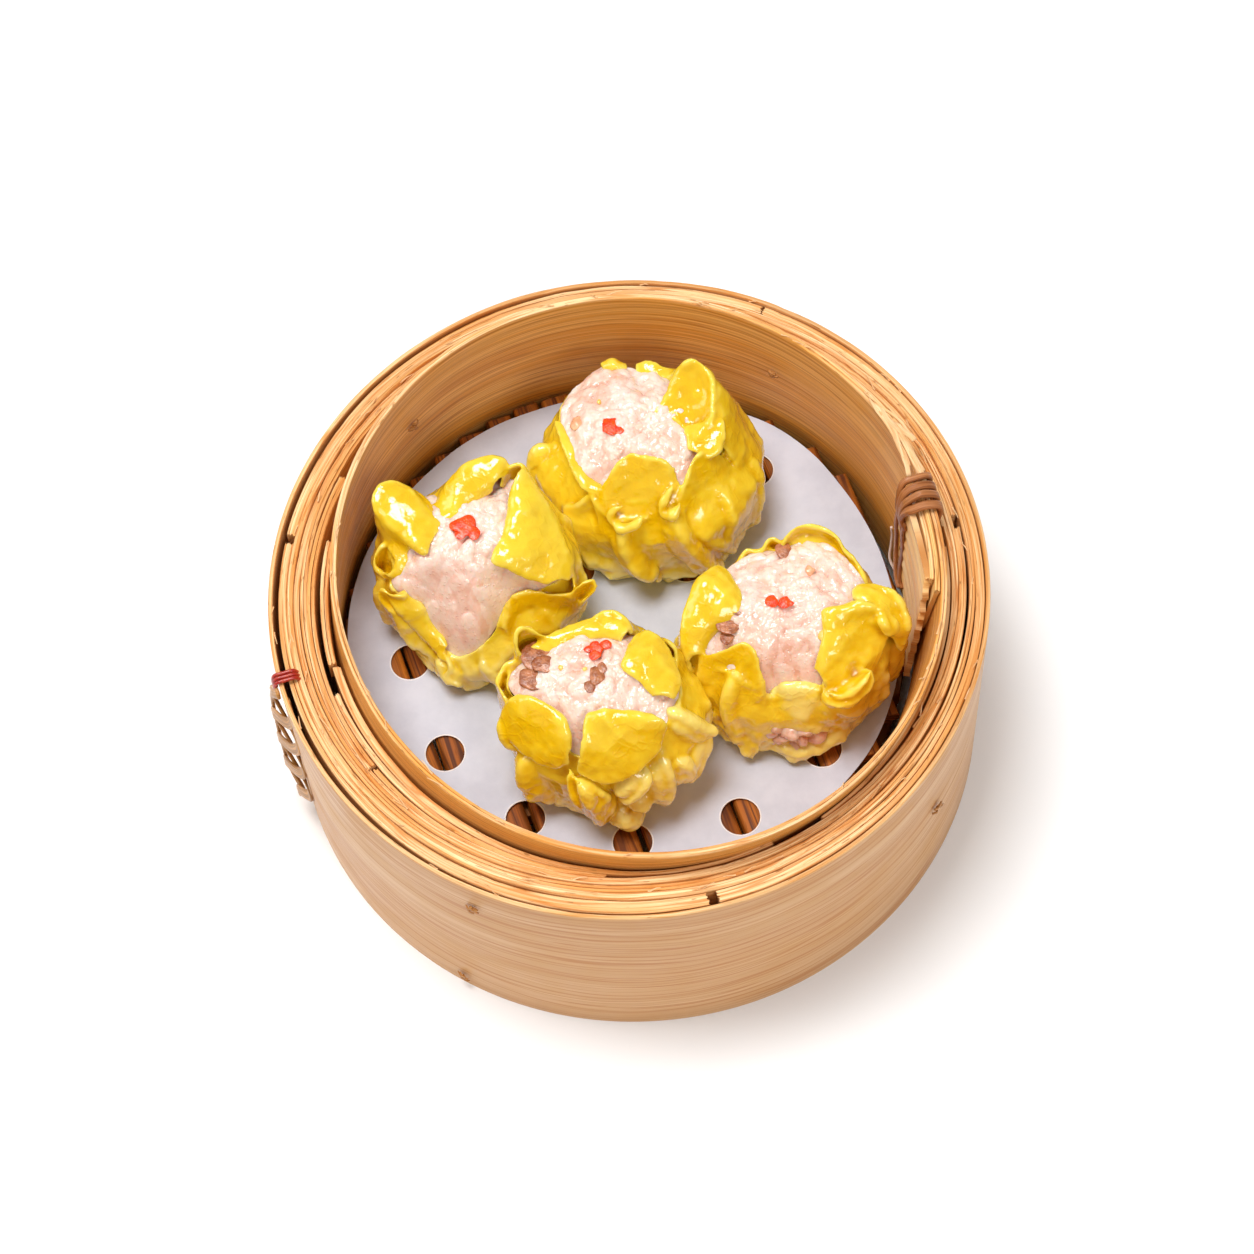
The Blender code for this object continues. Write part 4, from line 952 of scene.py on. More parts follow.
# Each siu mai, in millimetres and degrees about its own axis, heights above its foot, after a
# line with its name and its centre on the liner. Rows are parted by commas.
# rim: angle, radius, height of the cup's edge. foot and belly: angle, radius.
# flap, standing up from the side: bulge, tone / free edge (angle, radius, height) / root
# (angle, height). fold, lying over the top: crown, tone / outer edge / inner edge.
# ridge, a pleat pressed on the side: tone / angle, radius, height, half width.
# dome: the filling's middle and height. Toppings: across, back, size.
SIU_MAI_SHAPES = """
back 6 35
rim 0 17 27, 20 17.5 29, 45 16.5 30, 63 15 28, 77 16 28, 88 16 27, 96 17 27, 106 18 28, 114 20 27,
 123 20 26, 149 20 26, 161 19 26, 175 17 26, 195 16 26, 212 17 26, 224 17 25, 245 16 26, 270 15
 27, 300 16 27, 330 17 27
foot 10 20, 50 21, 90 22, 120 21, 150 21, 180 22, 210 21.5, 235 23, 264 21, 290 23, 314 24, 340 23
belly 0 25, 30 23, 60 22.5, 90 22.5, 120 22.5, 150 22.5, 177 24, 200 22.5, 225 22, 250 21, 275 21,
 300 22.5, 325 24.5, 345 25
flap 3 0.8 / 63 15.5 28, 54 14 35, 46 15.3 38, 35 16.3 37.5, 22 16.5 36.5, 11 15.5 35.5, 357 14.4
 34, 346 13 32 / 66 22, 50 22, 35 23, 20 23, 5 21, 350 21, 340 22
flap 2.5 0.75 / 36 19 29, 27 18.7 31, 16 18.7 30.5, 5 19.2 28.5, 354 20.2 24 / 40 16, 20 15, 0 13,
 350 12
flap 2.2 0.9 / 229 16.5 25, 232 14 29, 236 11 31.5, 246 8.5 32.8, 262 8.6 33.2, 280 9.5 32.8, 292
 11.3 31.8, 297 13 29 / 236 18, 262 17, 290 18
flap 1.8 0.85 / 298 12 31, 288 12.3 28.3, 279 13 26, 272.5 14.6 24, 279 17.2 23, 290 16.8 25.5,
 300 15.3 28.7, 314 13.5 31, 326 14 31.5, 340 15 29 / 287 14, 291 9, 297 5, 305 3, 312 4, 320 9,
 338 14
flap 1.4 0.8 / 226 17.5 26, 233 18.2 24.3, 242 18.8 23, 255 18 23, 267 17.4 23.2, 269 15.2 25, 274
 14.2 27 / 240 12, 250 8, 262 5, 276 3, 286 5, 284 12
flap 2 0.7 / 205 21 18, 212 21 20, 220 19.5 22.5, 226 17 25.5, 230 17.5 22 / 208 5, 216 3, 226 3,
 234 5
fold -1.6 0.95 / 54 12.5 35.5, 47 15 37.6, 35 16 37.2, 22 16 36, 10 15 34.8, 357 13.8 33.6, 347 12
 32.4 / 50 5.5 32.2, 42 4.2 32, 20 5.6 31.2, 4 7.5 30.8, 355 9 30.8, 348 10 31.4
fold 0.6 0.8 / 161 20 26, 175 18 26.4, 195 17 26.6, 215 17.4 26.4, 229 17 25.6 / 161 18 25.6, 175
 16 26, 195 14.8 26.2, 215 15 26, 229 14.6 26
fold 0.5 0.7 / 60 16.2 28.6, 77 17 28.8, 92 17.6 27.6 / 60 13.6 28.8, 77 14.6 29, 92 15.4 28.2
fold 0.8 1 / 98 18.2 27.6, 106 19.4 28.8, 114 20.2 27.6 / 98 16.4 28, 106 16.8 29, 114 18 28
fold 0.8 0.8 / 357 16.8 33, 346 17.4 31.4, 334 17 29.6, 326 15.4 30 / 357 9 31, 346 9 31, 334 10
 30.6, 326 11 30.2
ridge 0.85 / 281 17.4 25.5 1.9, 284 20 20 3, 290 22.4 13 3.4, 298 24.2 7 3, 305 25 3 1.6
ridge 1 / 290 15.4 30.6 0.7, 283 16.4 28.4 0.9, 277 17.8 26.2 0.9, 279 19 24.8 0.9, 285 19.4 26
 0.9, 291 18.4 28.2 0.7
ridge 0.85 / 248 19 22.6 1.8, 252 21 16.5 2.8, 260 22.4 10 3, 272 23 4 1.8
ridge 1 / 252 17.2 26.8 0.7, 245 18.4 25.4 0.9, 244 19.6 23.4 0.9, 251 20.6 22.8 0.9, 260 20 24
 0.9, 266 18.4 25.8 0.7
ridge 0.7 / 296 20.6 17 1.6, 304 22.6 12 2.4, 312 24 6 2
ridge 0.6 / 212 20.6 19 1.4, 218 21 12 2.2, 230 21.6 5 1.8
ridge 0.45 / 348 21.5 21 1.8, 340 23.6 13 2.8, 330 24 5 2.2
ridge 0.4 / 14 21.5 22 1.5, 8 23.6 14 2.4, 2 23 6 2
ridge 0.6 / 170 21.6 21 2, 175 23.4 17 2.6, 188 22.8 10 2.2
ridge 0.6 / 318 18 22 1.6, 312 21.5 14 2.2, 310 23.5 6 2
ridge 0.5 / 60 20.5 22 1.5, 58 22.5 13 2.4, 54 22 5 2
ridge 0.5 / 95 20.5 20 1.5, 100 22 12 2.4, 97 21.6 5 2
ridge 0.5 / 130 20.5 20 1.5, 134 22 12 2.4, 138 21.4 5 2
dome -2 2 32
carrot -6.9 0.2 2.3, -5.2 -1.2 1
corn -9 7 0.6
prawn -14 3.5 1.9
left -32 13
rim 0 19 25, 20 17.5 27.5, 45 17 29, 62 16 29, 80 15 29, 100 14 28, 120 14 27, 140 17 28, 160 18
 27, 172 18 24, 186 17 22, 198 19 21, 210 17 20, 220 16 16, 235 17 11, 255 19 9, 268 18 12, 283
 15.5 15.5, 296 13 18, 308 12.6 19.5, 322 15 20, 340 20 21
foot 0 22, 40 20, 80 19, 120 20, 172 20, 183 20, 199 19, 212 18, 228 19, 244 20.5, 260 22, 272 21,
 295 18, 320 19, 335 22
belly 0 22.5, 30 21, 60 20, 90 19, 120 20, 150 21.5, 172 20.5, 190 20, 212 18.5, 230 19.5, 250 21,
 265 22, 280 21, 300 19.5, 320 21, 335 23
flap 1.5 0.75 / 182 12.5 26.5, 170 16.5 28.5, 162 19.5 30.5, 155 21.6 31.8, 147 21.8 32.5, 140
 20.4 32, 136 17 31, 131 13 28.5 / 182 16, 172 14, 162 13, 152 13, 144 13, 136 14, 128 16
flap 1.5 0.75 / 130 11.5 27, 108 13 30, 90 15 32.3, 72 17 34, 62 17 34, 56 15 32.3 / 130 16, 108
 14, 88 13, 70 14, 58 17
flap 0.5 0.8 / 57 12.5 30, 58 14.8 31.8, 54 17.3 33, 49 18.4 33.2, 44 17 32.6, 42 14 31.6 / 56 22,
 54 20, 51 18, 48 17, 45 17, 42 20
flap 2.5 0.6 / 48 18.3 33, 36 16.8 32, 18 17 30.6, 2 18.6 27.6, 348 20.6 24.5, 336 22.4 19.5 / 44
 14, 30 12, 16 10, 2 8, 350 8, 338 8
flap 0.3 0.9 / 331 22 18, 334 23 20.5, 337 24.5 22.3, 340 26.3 22, 337 26.8 19.8, 332 24.8 17.6 /
 331 11, 333 13, 336 14, 338 14, 336 12, 333 10
flap 3.2 1 / 289 16 15.5, 299 13.5 18, 307 12.8 20.3, 320 15 21, 327 18.8 19.8, 334 23 18.4 / 292
 4, 302 2, 315 2, 328 3, 336 6
flap 1.5 0.8 / 170 17 25, 176 19.5 24.8, 182 20.8 23, 187 19.5 20.5 / 170 12, 176 10, 182 9, 188
 10
flap 0.8 0.9 / 212 17.2 22, 206 19.8 22.5, 199 21.2 21.5, 203 21.6 19, 210 19.6 17.5, 216 17.6
 15.5 / 212 12, 206 10, 200 9, 203 7, 208 5, 216 4
flap 0.6 0.45 / 246 19.2 10, 251 20.8 8, 249 22.2 5.5, 257 22.8 4.5 / 258 6, 260 4, 258 2, 262 1
fold 0.8 0.85 / 181 13 27, 170 16.5 28.6, 163 19 30.6, 155 21.3 31.6, 147 21.3 32.3, 140 19.8
 31.6, 136 16.6 30.6, 131 12.6 28 / 190 11.6 28, 199 10 29.2, 186 8.6 29.6, 165 7.4 29.6, 148 7.2
 29.2, 140 8.6 28.6, 134 10.4 27.8
fold 1.4 0.75 / 130 11.4 27.4, 108 13 30.2, 90 15 32.4, 72 17 34, 62 16.8 34, 57 14 32 / 150 6
 28.8, 130 4.4 29, 100 5 29, 85 7 29.2, 72 9.4 29.6, 62 11.4 30.2
fold 1.6 0.65 / 48 18 33, 36 16.6 32, 18 16.8 30.6, 2 18.4 27.6, 348 20.4 24.6, 336 21.6 21.6 / 43
 12.6 31.6, 24 9.2 31.4, 350 7.2 31, 304 8.4 30.6, 317 13.4 27.2, 328 18.4 24
fold 0.6 0.8 / 187 20 21, 193 18.6 23, 186 16.4 24.2, 175 17.5 25.2 / 190 19.6 20.6, 195 16 22,
 190 13.4 23.4, 178 14.4 25
fold 0.7 0.75 / 204 20.4 20.6, 212 19.6 18.4, 220 18 14.6, 232 18.4 10.6, 246 19.8 8.6 / 206 17
 21.6, 213 16.4 20, 221 15.4 16.6, 232 15.6 13, 246 17.4 10.6
ridge 0.7 / 185 19.6 19 1.6, 190 20.4 12 2.2, 194 19.8 5 2
ridge 0.55 / 206 19.6 18 1.6, 214 19 12 2.2, 224 18.8 5 1.8
ridge 0.55 / 350 20.5 20 2, 345 22 13 2.8, 338 22.4 6 2.2
ridge 0.95 / 318 18 16 2.2, 318 19.6 10 3, 320 20 4 2.2
ridge 0.3 / 268 19.6 10 2, 274 20.6 6 2.8, 282 20 3 2.4
ridge 0.5 / 296 17.4 12 2, 292 18.6 7 2.4, 288 19 3 2
ridge 0.35 / 240 18.8 8 1.6, 244 20.2 5 2.2, 250 21 2.5 2
ridge 0.5 / 20 20 22 1.5, 18 21 14 2.4, 12 21.4 6 2
ridge 0.5 / 60 18.8 22 1.5, 62 19.8 13 2.4, 66 19.4 5 2
ridge 0.5 / 95 17.4 20 1.5, 98 18.8 12 2.4, 94 19 5 2
ridge 0.5 / 130 18.8 20 1.5, 132 20 12 2.4, 136 20 5 2
ridge 0.5 / 160 20 20 1.5, 162 20.8 12 2.4, 166 20.2 5 2
dome 0 1 30.5
carrot -1.3 1.6 2.9, 0.9 -0.4 1.5, -2 -0.4 1.4
front -7 -22
rim 0 16 28, 20 15 28, 45 13 28, 57 11.5 29, 76 11.5 29, 103 12 29, 130 13.5 28.5, 149 16 27, 160
 19 25.5, 173 20 24.5, 187 18 26, 205 16 26, 225 15 24, 248 15.5 22, 270 16 22, 290 16 24, 310 16
 26, 333 17 27
foot 0 20, 40 18, 80 17.5, 120 18, 150 19, 173 20, 198 20, 223 20, 240 19, 256 18.5, 272 19, 284
 19.5, 300 18.5, 320 19.5, 340 21
belly 0 21, 30 19.5, 60 18, 90 17, 120 18, 150 19.5, 175 20.5, 197 20.5, 216 20.5, 235 19.5, 254
 18.5, 270 18, 290 18.5, 310 20, 335 21.5
flap 1 0.85 / 152 15.5 26.5, 158 17.5 29, 152 18.8 32.3, 147 18.8 33.8, 142 17 32.8, 138 14 30.5,
 128 12.5 29.5 / 158 16, 154 14, 149 13, 144 13, 138 14, 130 16
flap 1 0.8 / 97 12.3 29, 90 12.8 31.6, 78 13.4 32.2, 64 12.8 31.8, 52 11.2 30 / 100 18, 85 17, 70
 17, 50 18
flap 1 0.8 / 34 12.4 29.5, 28 14.5 30.4, 20 16 29.6, 12 16 27.6, 4 14.6 26.5 / 36 18, 28 16, 20
 14, 12 14, 4 16
flap 1.2 0.85 / 157 17 26.4, 162 20 26.2, 168 21.2 25, 174 21.6 25.2, 181 20.6 26, 190 19.6 24.4 /
 160 12, 166 10, 172 8, 180 8, 190 10
flap 2 0.85 / 244 17.6 21, 251 19.4 19.6, 262 20 17.6, 269 20 14, 268 20.2 9 / 243 6, 249 4, 256
 3, 262 3, 266 4
fold 1.2 0.8 / 46 12.4 29.8, 36 13.4 31.4, 22 14.6 31.2, 8 15 30.2, 352 16 29.2, 336 15.6 28.6 /
 42 8.6 31, 25 5.8 32, 5 4.6 32.6, 345 6.4 32.6, 335 9.4 31.6, 332 12 30.4
fold 0.9 0.75 / 152 16.8 28, 130 13.8 30, 103 12.6 30.2, 76 12.6 30.6, 54 11.8 30 / 148 12.6 28.4,
 130 10.4 29.6, 103 8.8 30, 76 8.6 30.4, 57 8.8 30.2
fold 2.4 0.75 / 249 18 21.4, 262 18.8 19.8, 276 19.4 19.8, 291 19.4 22, 305 18.6 25, 316 17.4 28 /
 253 13.8 27.6, 249 9.8 30.2, 264 8.6 31, 290 9.4 31, 304 11.6 30.8, 314 14.2 30.4
fold 2 0.85 / 188 20.6 24, 199 21 21.4, 212 20.6 20, 226 19.6 20, 236 18.4 20.4, 243 17 21.6 / 187
 17.2 28, 196 14.8 30, 209 12.4 30.2, 225 12 29.4, 235 13.2 27.8, 241 15 24.8
ridge 0.9 / 190 20 23 1.5, 197 21.4 20 2.2, 207 20 16.5 1.8
ridge 0.9 / 212 20 18 2.4, 215 21 13 3.6, 221 20.8 7.5 3.8, 232 19.8 4.5 3
ridge 0.8 / 250 19.6 19 1.8, 257 20.4 14 3, 262 20.4 9 3.8, 258 20 4.4 3.2
ridge 1 / 244 19.4 21.4 0.6, 247 21 17 0.8, 254 22.4 12.6 0.8, 259 21.6 16.4 0.8, 252 20.4 20.6
 0.6
ridge 0.2 / 292 18.4 20 2.4, 285 19.6 16 3.2, 274 19.8 12.6 3
ridge 0.1 / 268 19.6 4.4 2.6, 279 20.8 3.6 3.4, 289 20.4 3.8 3
ridge 0.25 / 304 18.8 20 2.6, 303 20.4 14 3.4, 300 20.6 9 3.2, 296 19.8 5 2.4
ridge 0.2 / 278 20.2 9.6 1.8, 286 20.8 9 2.4, 294 20.6 10 1.8
ridge 0.3 / 312 19.8 18 2, 316 21.4 13 2.8, 312 21 8 2.2
ridge 0.35 / 326 16.5 28 1.8, 329 18.6 24 2.6, 333 21.8 20 2.4, 336 25 18.2 0.8
ridge 0.25 / 336 22.4 18 1.6, 327 21.8 13 2.6, 316 20.8 8 2.6
ridge 0.35 / 350 20 18 1.8, 348 20.6 12 2.4, 342 20.4 5 2
ridge 0.5 / 20 17.6 20 1.5, 18 19.4 12 2.4, 12 19.6 5 2
ridge 0.5 / 62 16 20 1.5, 60 17.6 12 2.4, 64 17.8 5 2
ridge 0.5 / 108 15.6 20 1.5, 112 17.2 12 2.4, 108 17.8 5 2
ridge 0.5 / 150 17.8 20 1.5, 154 19.6 12 2.4, 152 19.4 5 2
dome -1 1.5 31.5
carrot -0.4 5.2 1.7, 1.3 5.9 1.3, -0.8 3.4 1.3, -2.2 5.2 0.8
mushroom -12.5 6 3.2, -14.2 1 2.8, -11.6 3.4 2.2, -0.9 -1.2 2.2, -2.2 -3 1.6, 0.4 0.6 1.2
corn -8 2 0.6, -3.2 0.8 0.5
right 33 -10.5
rim 0 19 28, 10 17 28.5, 20 17 28, 39 17 29, 64 17.5 30, 80 16.5 30, 95 15.5 28, 113 17 28, 125 17
 27, 140 17.5 27, 155 19 28, 174 20 28, 190 21.5 25, 203 20 24, 220 17 25, 238 16 22, 248 15.5 19,
 262 15 18.5, 276 15 18.5, 286 15 20, 300 15 23, 320 16 25, 340 18 27
foot 0 20, 40 19.5, 80 19, 120 19.5, 150 20, 180 20.5, 211 21, 223 21.5, 236 21, 250 20, 264 20.5,
 276 20, 296 19, 310 19.5, 325 20.5, 345 20.5
belly 0 22, 30 20.5, 60 20, 90 19.5, 120 20, 150 21, 180 22.5, 195 22.5, 215 21.5, 240 20, 260 18,
 280 18, 300 19, 320 20, 340 21
flap 2 0.8 / 140 17 27.5, 142 18 30, 149 19 30.8, 157 20.4 30.6, 167 21 30.4, 178 22 29.2, 188
 23.2 26.8, 197 23 23.8 / 138 18, 148 15, 158 13, 168 12, 180 11, 192 11, 204 12
flap 2 0.85 / 92 14.5 28.5, 88 16 31.8, 78 17.4 34, 64 18.3 34, 51 17.6 33, 39 17.4 31, 30 17.4
 29.6, 20 17 28 / 95 14, 75 12, 55 12, 35 13, 18 15
flap 1 0.85 / 127 16.5 26.5, 117 17.2 28.8, 108 15.8 28.2, 99 17 30.4, 90 15.4 29.4 / 128 16, 112
 15, 100 15, 90 16
flap 1 0.85 / 14 15 28.6, 11 17.5 31.2, 5 20 31.8, 0 21.8 31.2, 354 23.6 29, 350 24.2 26, 345 23.6
 22 / 18 15, 10 12, 2 10, 354 9, 346 8
flap 3.6 0.9 / 199 20.5 24, 205 17.5 27, 210 14 29.2, 216 12 30.2, 227 12 29.2, 238 14 25, 244
 15.6 20, 246 18 12, 246 20.5 6, 243 22 1.5 / 206 14, 211 12, 216 10, 221 8, 226 6, 232 4, 237 2
flap 0.6 0.9 / 196 23 21, 201 24.6 19.5, 207 24 17, 213 23.3 15.2 / 200 12, 204 10, 208 8, 214 7
flap 0.8 0.9 / 206 22.6 15.4, 214 23.2 13.4, 221 22.6 12.4 / 208 6, 214 5, 222 4
fold 1.4 0.8 / 140 17.2 28, 147 18.8 30.6, 156 20.2 30.6, 166 20.8 30.4, 178 21.8 29, 188 23 26.6,
 197 22.8 23.6 / 143 15.2 29, 150 12.6 30.4, 163 10.6 31.2, 177 10.2 31, 185 13.2 29, 190 16.8
 26.8, 198 20 24.6
fold 3 0.8 / 352 19.6 27.4, 346 20 24.6, 336 19.4 22, 322 19.2 19.4, 306 18.6 17.4, 292 17.4 17.4
 / 357 12.6 31.8, 350 8.4 32, 340 6.6 31.8, 322 8 31, 302 10.2 28.6, 288 12.4 25.4
fold 1.4 0.85 / 14 17.6 27.8, 9 20.4 28.6, 3 22.4 28.4, 356 24 26.4, 350 24.4 23.4, 344 23.2 19.4
 / 14 13.8 29.4, 8 13.4 31.4, 2 14 32, 356 16.2 31.4, 350 18.4 29.4, 345 19.6 26.4
fold 2 0.15 / 249 17.4 9, 262 17.8 9.6, 276 18.4 9, 290 18.8 8 / 249 13.4 18.4, 258 12.8 21, 273
 12.6 21.4, 290 13.6 20.6
ridge 0.85 / 287 16.4 21.4 1.5, 296 19 20.4 2.2, 308 20 22 2.3, 320 20 24.4 1.6
ridge 1 / 289 17.4 23.4 0.6, 298 19.8 22.8 0.8, 310 20.6 24.6 0.8, 320 20.4 26 0.6
ridge 0.9 / 350 18 31 1.3, 345 20 29.6 1.8, 344 21.6 26.4 1.6
ridge 0.7 / 218 17.4 24 2, 222 19.8 17 2.8, 228 20.8 9 2.8, 236 21 3.4 1.8
ridge 0.7 / 202 21.6 16 1.6, 206 21.6 10 2.4, 214 21.2 4.5 2.2
ridge 0.3 / 296 17 14 2.4, 306 18.2 11 3, 318 18.6 9 2.6
ridge 0.4 / 330 19 19 2, 330 20 13 2.8, 326 20 6 2.4
ridge 0.6 / 348 21 19 1.6, 348 21.6 13 2.6, 342 21 6 2.2
ridge 0.15 / 250 18.8 3.4 1.8, 262 19.4 2.6 2.2, 277 19.2 2.8 2.2, 294 18.8 4 2.4, 310 18.8 4 2.2
ridge 0.5 / 20 19.4 20 1.5, 16 20.6 12 2.4, 10 20.2 5 2
ridge 0.5 / 62 18.8 20 1.5, 60 19.8 12 2.4, 66 19.2 5 2
ridge 0.5 / 100 17.6 20 1.5, 104 19 12 2.4, 100 19 5 2
ridge 0.5 / 140 19 20 1.5, 144 20.6 12 2.4, 140 20 5 2
ridge 0.6 / 170 21 18 1.8, 172 22 12 2.6, 176 21 5 2
dome 0.5 2 31.5
carrot -3.8 1 1.6, -1.4 0.6 1.4, -0.2 0.2 0.7
mushroom -0.2 14 2.2, -13 -1.8 2.4, -13.5 -4.2 1.9, -11 0.4 1.3
corn 6.4 -6 1.8
prawn 4.5 8 1.4
"""


def rows_of(text):
    """Rows of numbers from plain text: numbers parted by spaces, rows by commas."""
    return [tuple(float(word) for word in row.split()) for row in text.split(",")]


def read_shapes(text):
    """Each siu mai's shape from the lines above; a line that starts with a space goes on."""
    shapes = {}
    for line in text.strip().replace("\n ", " ").split("\n"):
        word, rest = line.split(" ", 1)
        first, *others = (rows_of(part) for part in rest.split("/"))
        if word in ("back", "left", "front", "right"):
            spec = shapes[word] = {kind: [] for kind in ("flap", "fold", "ridge", "carrot",
                                                         "mushroom", "corn", "prawn")}
            spec["centre"] = first[0]
        elif others:
            spec[word].append((*first[0], *others))
        else:
            spec[word] = first[0] if word == "dome" else first
    return shapes


SIU_MAI = read_shapes(SIU_MAI_SHAPES)
# Pink filling that shows through a tear low on the right siu mai: angle, radius, height.
TEAR_LUMPS = ((251, 16.8, 8.5, 2.6), (257, 17.2, 10.2, 2.4), (260, 17.2, 6.6, 2.7),
              (266, 17.2, 9.4, 2.8), (272, 17.6, 6.4, 2.9), (276, 17.4, 9.0, 2.6),
              (282, 17.8, 6.2, 2.6), (287, 17.8, 4.6, 2.2), (254, 17.2, 5.2, 2.2),
              (269, 18.0, 4.0, 2.2))


def local_points(keys):
    """Angle, radius, height triples as x, y, z in millimetres."""
    angle, radius, height = np.asarray(keys, float).T
    return on_circle(radius, angle, height)


def foot_of(spec):
    """Where a siu mai's foot stands, in millimetres."""
    return np.array([*spec["centre"], STAND / MM])


def wall_radius(spec, angles, heights):
    """Outer radius of the wrapper's side, in millimetres, below the fold to its rim."""
    angles = np.asarray(angles, float)
    heights = np.asarray(heights, float) + 0 * angles
    foot, = around(spec["foot"], angles, 7)
    belly, = around(spec["belly"], angles, 7)
    rim, top = around(spec["rim"], angles, 4)
    share = np.clip(heights / np.maximum(top, 6.0), 0.0, 1.0)
    low = smooth_step(share, 0.0, 0.3)
    radius = foot * (1.0 - low) + belly * low - 1.4 * (1.0 - smooth_step(share, 0.0, 0.12))
    shoulder = smooth_step(share, 0.62, 1.0)
    return radius * (1.0 - shoulder) + rim * shoulder


def cup_mesh(spec, seed):
    """The wrapper's cup, closed: across its foot, up the outside, over the rim and down."""
    angles = np.linspace(0.0, FULL_TURN, AROUND, endpoint=False)
    top = around(spec["rim"], angles, 4)[1]
    rows = [on_circle(wall_radius(spec, angles, 0.0) * share, angles, 0.15 * share)
            for share in (0.25, 0.6, 0.9)]
    outer = [on_circle(wall_radius(spec, angles, top * share), angles, top * share)
             for share in np.linspace(0.0, 1.0, 56)]
    ring = on_circle(20.0, angles)
    outer[-1][:, 2] += 0.35 * noise(ring, 3.0, seed + 3) + 0.5 * noise(ring, 7.0, seed + 4)
    rows += outer
    for share in (0.98, 0.85, 0.6, 0.3, 0.08):
        level = outer[int(share * 55)]
        radius = np.maximum(np.hypot(level[:, 0], level[:, 1]) - SKIN - 0.5 * (1.0 - share), 2.0)
        rows.append(on_circle(radius, angles, level[:, 2]))
    cup, points = closed_body("cup", np.array(rows), [[0, 0, 0.0], [0, 0, 1.6]])
    return cup, points, smooth_step(points[:, 2], 2.0, 18.0) * 0.5 + 0.16


def flap_grid(spec, edge, root, bulge, across=48, down=22):
    """Points of a flap's middle surface, from its free edge down to its root on the side."""
    free = catmull(local_points(edge), across)
    root = np.array(root, float)
    root[:, 0] = np.degrees(np.unwrap(np.radians(root[:, 0])))
    angles, heights = catmull(root, across).T
    radius = wall_radius(spec, angles % FULL_TURN, heights) - 0.5
    base = on_circle(radius, angles, heights)
    middle = (free + base) / 2.0
    away = unit(middle * np.array([1.0, 1.0, 0.0]), 1e-9)
    knee = middle + bulge * (0.45 * away + np.array([0.0, 0.0, 0.5]))
    v = np.linspace(0.0, 1.0, down)[:, None, None]
    return (1 - v) ** 2 * free + 2 * v * (1 - v) * knee + v ** 2 * base


def thick_sheet(name, grid, thickness):
    """Closed sheet of a thickness round a grid of middle points."""
    normal = unit(np.cross(np.gradient(grid, axis=1), np.gradient(grid, axis=0)), 1e-9)
    rows, columns = grid.shape[:2]
    half = np.broadcast_to(thickness / 2.0, (rows, columns))[..., None]
    points = np.vstack([(grid + normal * half).reshape(-1, 3),
                        (grid - normal * half).reshape(-1, 3)])
    total = rows * columns
    faces = grid_faces(rows, columns)
    faces += [tuple(total + k for k in face[::-1]) for face in grid_faces(rows, columns)]
    rim = ([i * columns for i in range(rows)]
           + [(rows - 1) * columns + j for j in range(1, columns)]
           + [i * columns + columns - 1 for i in range(rows - 2, -1, -1)]
           + [j for j in range(columns - 2, 0, -1)])
    for a, b in zip(rim, rim[1:] + rim[:1]):
        faces.append((a, b, total + b, total + a))
    return outward(mesh_object(name, points, faces)), points


def fold_grid(outer, inner, crown, across=48, down=20):
    """Middle surface of a fold that lies between two edges, crowned in its middle."""
    first = catmull(local_points(outer), across)
    second = catmull(local_points(inner), across)
    share = np.linspace(0.0, 1.0, down)[:, None, None]
    grid = first * (1.0 - share) + second * share
    lift = crown * (4.0 * share * (1.0 - share)) ** 0.7
    return grid + lift * np.array([0.0, 0.0, 1.0])


def ridge_tube(name, keys):
    """A pressed pleat as a tapering round ridge along the side."""
    keys = np.asarray(keys, float)
    line = catmull(np.hstack([local_points(keys[:, :3]), keys[:, 3:]]), 30)
    share = np.linspace(-1.0, 1.0, 30)
    radii = line[:, 3] * np.sqrt(1.0 - 0.97 * np.abs(share) ** 5)
    line[:, :2] -= unit(line[:, :2]) * line[:, 3:] * 0.3
    return tube(name, line[:, :3], radii, sides=16)


def smoothed(points, edges, rounds):
    """The points after rounds of averaging with their neighbours."""
    count = len(points)
    ends = np.concatenate([edges[:, 0], edges[:, 1]])
    others = np.concatenate([edges[:, 1], edges[:, 0]])
    valence = np.maximum(np.bincount(ends, minlength=count), 1)[:, None]
    for _ in range(rounds):
        sums = np.stack([np.bincount(ends, points[others, k], count) for k in range(3)], -1)
        points = 0.4 * points + 0.6 * sums / valence
    return points


def pleat_steps(ridges, points):
    """How far each point rises beside the pleats: a sharp edge one side, fading on the other."""
    turn = np.degrees(np.arctan2(points[:, 1], points[:, 0]))
    radius = np.hypot(points[:, 0], points[:, 1])
    rise = np.zeros(len(points))
    for _, keys in ridges:
        keys = np.asarray(sorted(keys, key=lambda key: key[2]), float)
        if keys[:, 3].max() < 1.2:
            continue
        line = np.interp(points[:, 2], keys[:, 2], keys[:, 0])
        aside = np.radians(angle_away(turn, line)) * radius
        fade = smooth_step(points[:, 2], keys[0, 2] - 3.0, keys[0, 2] + 1.0)
        fade = fade * (1.0 - smooth_step(points[:, 2], keys[-1, 2] - 1.0, keys[-1, 2] + 3.0))
        decay = np.where(aside > 0.0, np.exp(-aside / 3.0), np.exp(aside / 1.5))
        rise += 1.1 * fade * decay * (0.15 + np.tanh(aside / 0.9)) * (radius > 12.0)
    return np.clip(rise, -0.9, 1.5)


